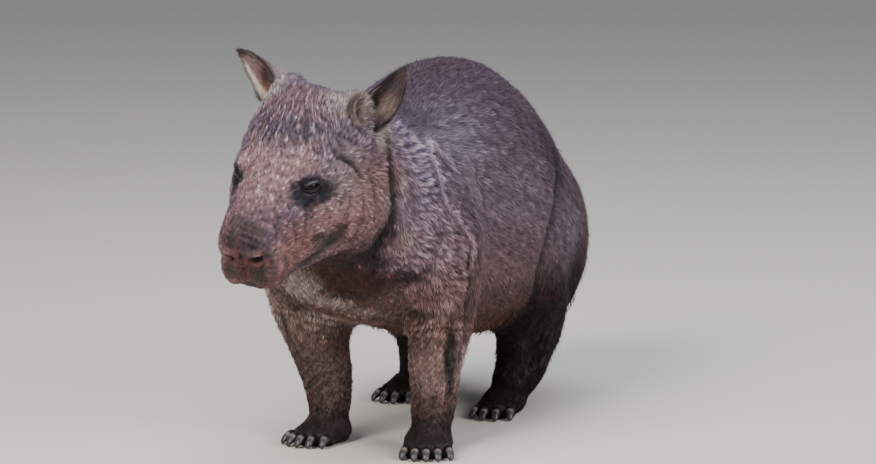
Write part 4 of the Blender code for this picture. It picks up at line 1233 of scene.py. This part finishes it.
def coatRoots(mesh):
    roots, normals, patches = sampledRoots(
        mesh, lambda spots: coatAt(spots)["dense"] * 1e4 * furTune["density"] * thinned)
    inEyes = np.zeros(len(roots), bool)
    for side in (1, -1):
        inEye = inEyeSpace(side, roots)
        across = np.hypot(inEye[:, 0] / eye["bare"][0], inEye[:, 1] / eye["bare"][1])
        inEyes |= (across < 1) & (np.linalg.norm(inEye, axis=1) < 0.026)
    return roots[~inEyes], normals[~inEyes], patches[~inEyes]


def pieceNames(roots, shares):
    # the coat is kept in pieces by region and side, none of them over the limit on triangles
    isHead = (shares["nose"] + shares["face"] + shares["crown"]) > 0.5
    isLeg = (shares["leg"] + shares["foot"]) > 0.5
    isTrunk = ~isHead & ~isLeg
    back, up = roots[:, 1], roots[:, 2]
    area = np.where(isHead, np.where(inHead(roots)[:, 1] > 0.10, "Face", "Crown"), "Flank")
    area = np.where(isLeg, np.where(back > 0.06, "HindLeg", "Foreleg"), area)
    area = np.where(isTrunk & (back < -0.02), "Neck", area)
    area = np.where(isTrunk & (back > 0.20), "Rump", area)
    area = np.where(isTrunk & (back >= -0.02) & (back <= 0.20) & (up > 0.31), "Back", area)
    sides = np.where(roots[:, 0] > 0, "Left", "Right")
    return np.char.add("coat", np.char.add(area.astype(str), sides.astype(str)))


def growCoat(mesh, tree):
    roots, normals, patches = coatRoots(mesh)
    shares = regionShares(roots)
    size = coatAt(roots)
    count = len(roots)
    # each tuft's way, length and height
    lie = lieAt(roots, normals)
    turn = random.normal(0, 0.14, count)
    lie = lie * np.cos(turn)[:, None] + np.cross(normals, lie) * np.sin(turn)[:, None]
    stray = (random.random(count) < furTune["stray"]) * (shares["body"] + shares["leg"] + shares["belly"])
    length = size["length"] * random.uniform(0.65, 1.25, count) * (1 + 0.6 * stray)
    lift = size["lift"] * random.uniform(0.6, 1.3, count) * (1 + 1.3 * stray)
    # the thigh's rear edge carries a fringe
    fringe = ramp(normals[:, 1], 0.2, 0.7) * ramp(roots[:, 1], 0.15, 0.22) * ramp(roots[:, 2], 0.26, 0.16)
    length, lift = length * (1 + 0.9 * fringe), lift * (1 + 1.1 * fringe)
    # its middle and tip, laid on the skin and then raised with the waves
    midSpots, midNormals = onSkin(tree, roots + lie * (length * 0.5)[:, None])
    onward = lieAt(midSpots, midNormals)
    tipSpots, tipNormals = onSkin(tree, midSpots + onward * (length * 0.5)[:, None])
    midWave, tipWave = waves(midSpots, shares), waves(tipSpots, shares)
    crease = foldShade(tipSpots, 2)
    lift = lift * (1 + 0.45 * np.clip(tipWave, -1.5, 1.5)) * (0.4 + 0.6 * np.minimum(crease, 1))
    heave = furTune["heave"] * weighed(shares, {"neck": 1.0, "leg": 0.7, "crown": 0.3, "face": 0.3})
    midSpots = midSpots + midNormals * (heave * midWave)[:, None]
    tipSpots = tipSpots + tipNormals * (heave * tipWave)[:, None]
    mids = midSpots + midNormals * (lift * 0.72)[:, None]
    tips = tipSpots + tipNormals * lift[:, None]
    loose = weighed(shares, {"neck": 1.0, "leg": 0.7, "body": 0.15, "crown": 0.3})
    bend = random.normal(0, 0.10, count) * length * (0.5 + loose)
    mids = mids + np.cross(midNormals, onward) * bend[:, None]
    # locks
    lockSize = furTune["lock"]["base"] + sum(
        furTune["lock"][name] * shares[name] for name in ("neck", "body", "leg", "belly"))
    sure = 1 / (size["dense"] * 1e4 * lockSize ** 2 * thinned)
    hold = size["clump"] * (1 - 0.8 * stray)
    mids, tips, away = gathered(roots, normals, mids, tips, lockSize, hold, np.clip(sure, 0, 0.5))
    gap = hold * away
    raised = lift * (0.25 * hold - 0.45 * gap)
    tips = tips + tipNormals * np.maximum(raised, -0.6 * lift)[:, None]
    # colours: folds that stand proud are sleek, and a tuft across a fold carries the fold's painted shade and
    # highlights out to its tip
    sleek = np.clip(crease - 1, 0, 1)
    crossed = foldShade(midSpots)
    crossed = np.minimum(crossed, 1) ** 0.8 * np.clip(crossed, 1, 3) ** 0.5
    waveDepth = (1 - sleek) * (1 + 0.55 * shares["neck"] + 0.45 * shares["leg"])
    midWave, tipWave = midWave * waveDepth, tipWave * waveDepth
    patchy = (1 + 0.8 * (shares["face"] + shares["nose"])) * (1 - 0.8 * sleek)
    uneven = furTune["mottle"] * ripple(roots, 0.014, 31) + furTune["fine"] * ripple(roots, 0.005, 33)
    calmer = weighed(shares, {"face": 0.5, "crown": 0.5, "neck": 0.3, "leg": 0.25})
    spread = np.exp(random.normal(0, 1, count) * furTune["spread"] * (1 - calmer))
    # the coat's own uneven tone, and painted shade on tufts at the edge of a lock, paler where held in it
    shade = (np.exp(patchy * uneven) * spread * (1 + 0.30 * hold - 0.60 * gap))[:, None]
    midPaintedLight = np.exp(furTune["wave"] * midWave)[:, None]
    tipPaintedLight = (crossed * np.exp(furTune["wave"] * (0.75 * tipWave + 0.45 * np.minimum(midWave, 0))))[:, None]
    tints = (coatColour(roots) * shade * furTune["root"],
             coatColour(midSpots) * shade * furTune["mid"] * midPaintedLight,
             coatColour(tipSpots) * shade * furTune["tip"] * tipPaintedLight)
    across = unit(np.cross(normals, tips - roots))
    width = size["width"] * random.uniform(0.7, 1.3, count)
    base = roots - normals * furTune["sunk"]
    isShort = shares["belly"] < 0.5
    names = pieceNames(roots, shares)
    pieces = []
    for name in sorted(set(names)):
        parts = []
        for short in (True, False):
            own = (names == name) & (isShort == short)
            if own.any():
                parts.append(tuftArrays(base[own], mids[own], tips[own], normals[own], midNormals[own],
                                        across[own], width[own], [tint[own] for tint in tints], patches[own],
                                        short))
        starts = np.cumsum([0] + [len(part[0]) for part in parts])
        faces = np.vstack([part[1] + start for part, start in zip(parts, starts)])
        points, colours, spots = (np.vstack([part[k] for part in parts]) for k in (0, 2, 3))
        pieces.append(addObject(str(name), meshFromArrays(str(name), points, faces, colours, spots)))
        print(f"  {name}: {len(faces)} triangles")
    return pieces


# Short hair of the ears and lids, laid on those pieces' own surfaces

trimHair = {
    "ear": {"length": 0.0066, "width": 0.0008, "lift": 0.0014, "dense": 80},
    "lid": {"length": 0.0034, "width": 0.0006, "lift": 0.0007, "dense": 130},
    "turn": 0.22, "spread": 0.42,  # how far hairs differ in way and brightness
}


def growTrim(piece, hair, way, keep, shaggier):
    # way gives the lie at each root, keep the roots that are used, and shaggier how much longer the hair is
    settings = trimHair[hair]
    mesh = piece.data
    roots, normals, patches = sampledRoots(mesh, lambda spots: np.full(len(spots), settings["dense"] * 1e4))
    used = keep(roots)
    roots, normals, patches = roots[used], normals[used], patches[used]
    lie = way(roots)
    lie = unit(lie - normals * (lie * normals).sum(axis=1, keepdims=True))
    turn = random.normal(0, trimHair["turn"], len(roots))
    lie = lie * np.cos(turn)[:, None] + np.cross(normals, lie) * np.sin(turn)[:, None]
    layer = np.zeros(len(mesh.vertices) * 4, np.float32)
    mesh.color_attributes["tint"].data.foreach_get("color", layer)
    layer = layer.reshape(-1, 4)[:, :3]
    near = kdtree.KDTree(len(mesh.vertices))
    for k, vertex in enumerate(mesh.vertices):
        near.insert(vertex.co, k)
    near.balance()
    nearest = [near.find(root)[1] for root in roots]
    tints = layer[nearest] * np.exp(random.normal(0, trimHair["spread"], len(roots)))[:, None]
    shaggy = 1 + shaggier(roots)
    length = settings["length"] * random.uniform(0.6, 1.3, len(roots)) * shaggy
    lift = settings["lift"] * random.uniform(0.6, 1.4, len(roots)) * shaggy
    tips = roots + lie * length[:, None] + normals * lift[:, None]
    across = unit(np.cross(normals, lie))
    width = settings["width"] * random.uniform(0.7, 1.3, len(roots))
    # darker at the root and paler at the tip: the hair's own paler tips, and painted shade at the roots
    points, faces, colours, spots = tuftArrays(roots - normals * 0.0004, tips, tips, normals, normals, across,
                                               width, (tints * 0.6, tints, tints * 1.25), patches, True)
    name = "coat" + piece.name[0].upper() + piece.name[1:]
    return addObject(name, meshFromArrays(name, points, faces, colours, spots))


# Materials


def attributeColour(tree):
    return addNode(tree, "ShaderNodeAttribute", {"attribute_name": "tint"}).outputs["Color"]


def finish(tree, settings, links):
    shader = addNode(tree, "ShaderNodeBsdfPrincipled", settings, links)
    addNode(tree, "ShaderNodeOutputMaterial", {}, {"Surface": shader.outputs["BSDF"]})


def makeCoatMaterial():
    # guard hair: keratin, dusty and weathered, so a soft broken shine and paler tips
    material, tree = newMaterial("guardHair")
    finish(tree, {"Roughness": 0.60, "IOR": 1.50, "Specular IOR Level": 0.18, "Sheen Weight": 0.05,
                  "Sheen Roughness": 0.5}, {"Base Color": attributeColour(tree)})
    return material


def makeEyeMaterial():
    # the wet clear front of the eye: a mirror-smooth film over dark brown
    material, tree = newMaterial("wetCornea")
    finish(tree, {"Roughness": 0.12, "IOR": 1.36, "Specular IOR Level": 0.3},
           {"Base Color": attributeColour(tree)})
    return material


def grained(name, grain, relief, shades, settings):
    # the piece's own colours, made paler and darker by a fine grain that also stands in relief
    material, tree = newMaterial(name)
    place = addNode(tree, "ShaderNodeTexCoord").outputs["Object"]
    noise = addNode(tree, "ShaderNodeTexNoise", grain, {"Vector": place}).outputs["Fac"]
    raised = addNode(tree, "ShaderNodeBump", relief, {"Height": noise}).outputs["Normal"]
    shade = addNode(tree, "ShaderNodeMapRange", shades, {"Value": noise}).outputs["Result"]
    colour = addNode(tree, "ShaderNodeMix", {"data_type": "RGBA", "blend_type": "MULTIPLY"})
    colour.inputs["Factor"].default_value = 1.0
    tree.links.new(attributeColour(tree), colour.inputs[6])  # by number, as each kind has its own A and B
    tree.links.new(shade, colour.inputs[7])
    finish(tree, settings, {"Base Color": colour.outputs[2], "Normal": raised})
    return material


def makeClawMaterial():
    # horn, worn by digging: a dull polish, and scratches 0.6 mm apart in life, drawn at 1.2 mm so they show
    return grained("wornHorn", {"Scale": 1 / 0.0012, "Detail": 4.0}, {"Strength": 0.35, "Distance": 0.0003},
                   {"To Min": 0.70, "To Max": 1.15}, {"Roughness": 0.38, "IOR": 1.54})


def makeSkinMaterial():
    # skin under short flat hair: matt, with the hair's grain as relief, 0.8 mm from strand to strand in life
    # and drawn at 1.2 mm so it shows
    return grained("hairedSkin", {"Scale": 1 / 0.0012, "Detail": 3.0, "Roughness": 0.6},
                   {"Strength": 0.5, "Distance": 0.0006}, {"To Min": 0.55, "To Max": 1.05},
                   {"Roughness": 0.62, "IOR": 1.42})


skinMaterial = makeSkinMaterial()
coatMaterial = makeCoatMaterial()
eyeMaterial = makeEyeMaterial()
clawMaterial = makeClawMaterial()


def placed(piece, material, slot, *nodes):
    piece.data.materials.append(material)
    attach(piece, "root")
    if nodes:
        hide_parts(*nodes)


report("tools ready")
skinMesh = makeSkinMesh()
report(f"skin has {len(skinMesh.polygons)} faces")
points, normals = carveFolds(skinMesh)
points = wrinkle(points, normals)
lidTree = surfaceTree(skinMesh)
points = openEyes(points)
setVertices(skinMesh, points)
skin = addObject("skin", skinMesh)
# the skin takes the coat's colours darkened: painted shade beneath the hair
setTints(skinMesh, coatColour(points) * 0.62)
placed(skin, skinMaterial, "fur", *skinBuild["nodes"])
report("folds carved")

skinTree = surfaceTree(skinMesh)
for side, sideName in ((1, "left"), (-1, "right")):
    eyeball = makeEyeball(side)
    placed(eyeball, eyeMaterial, "eye", f"eye_{sideName}")
    lidPiece = makeLid(side, lidTree)
    placed(lidPiece, skinMaterial, "fur")
    middle = np.array(eyePlace(side))
    backwards = (fromHead([(0, -1, 0.2)])[0] - fromHead([(0, 0, 0)])[0]) * 0.9
    placed(growTrim(lidPiece, "lid", lambda spots: unit(spots - middle) + backwards,
                    lambda spots: np.hypot(*(inEyeSpace(side, spots)[:, :2] / lid["hairless"]).T) > 1,
                    lambda spots: 0.0), coatMaterial, "fur")
    earPiece = makeEar(side)
    placed(earPiece, skinMaterial, "ear_skin", f"ear_{sideName}")
    rise, earRoot = np.array(earMatrix(side))[:3, 2], np.array(earMatrix(side))[:3, 3]
    placed(growTrim(earPiece, "ear", lambda spots: np.zeros_like(spots) + rise,
                    lambda spots: np.ones(len(spots), bool),
                    lambda spots: 1.7 * ramp((spots - earRoot) @ rise / ear["length"], 0.42, 0.12)),
           coatMaterial, "ear_skin")
for foot, (_, _, toeCount, _, _) in feet.items():
    for number in range(toeCount):
        placed(makeClaw(foot, number), clawMaterial, "claw", f"claw_{foot}_{number + 1}")
placed(makeWhiskers(skinTree), coatMaterial, "fur")
report("eyes, lids, ears, claws and whiskers made")

coatPieces = growCoat(skinMesh, skinTree)
for piece in coatPieces:
    placed(piece, coatMaterial, "fur")
report("coat grown")


# Floor, lights and camera

view = {"azimuth": 20, "elevation": 8, "distance": 5.133, "lens": 184.93, "aim": (0.0270, 0.0565, 0.2235)}
# name: place, size, watts, colour; all aim at the middle of the body
lights = {
    "keySoftbox": ((-0.6, -2.6, 2.3), 1.6, 150, "fff4ea"),
    "topSoftbox": ((0.3, 0.6, 2.9), 2.0, 52, "eaf0ff"),
    "sideSoftbox": ((3.0, -1.2, 1.6), 2.0, 100, "fff6ef"),
}


def makeStudio():
    bm = bmesh.new()
    bmesh.ops.create_grid(bm, x_segments=1, y_segments=1, size=12)
    mesh = bpy.data.meshes.new("floor")
    bm.to_mesh(mesh)
    bm.free()
    material, tree = newMaterial("paleFloor")  # painted studio floor: matt, so no reflection
    finish(tree, {"Base Color": (*linear("d6d3cf"), 1), "Roughness": 0.9}, {})
    mesh.materials.append(material)
    addObject("floor", mesh)
    middle = Vector((0.0, 0.05, 0.2))
    for name, (place, size, watts, hexColour) in lights.items():
        lamp = bpy.data.lights.new(name, "AREA")
        lamp.size = size
        lamp.energy = watts
        lamp.color = linear(hexColour)
        made = addObject(name, lamp)
        made.location = place
        made.rotation_euler = (middle - Vector(place)).to_track_quat("-Z", "Y").to_euler()
    world = bpy.data.worlds.new("studio")
    bpy.context.scene.world = world
    world.use_nodes = True
    world.node_tree.nodes.clear()
    glow = addNode(world.node_tree, "ShaderNodeBackground",
                   {"Color": (*linear("dfe3ea"), 1), "Strength": 0.34})
    addNode(world.node_tree, "ShaderNodeOutputWorld", {}, {"Surface": glow.outputs["Background"]})


def makeCamera():
    azimuth, elevation = math.radians(view["azimuth"]), math.radians(view["elevation"])
    out = Vector((math.sin(azimuth) * math.cos(elevation), -math.cos(azimuth) * math.cos(elevation),
                  math.sin(elevation)))
    camera = addObject("camera", bpy.data.cameras.new("camera"))
    camera.data.sensor_width = 36
    camera.data.lens = view["lens"]
    camera.location = Vector(view["aim"]) + out * view["distance"]
    camera.rotation_euler = (-out).to_track_quat("-Z", "Y").to_euler()
    bpy.context.scene.camera = camera


makeStudio()
makeCamera()
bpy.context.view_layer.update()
report("done")
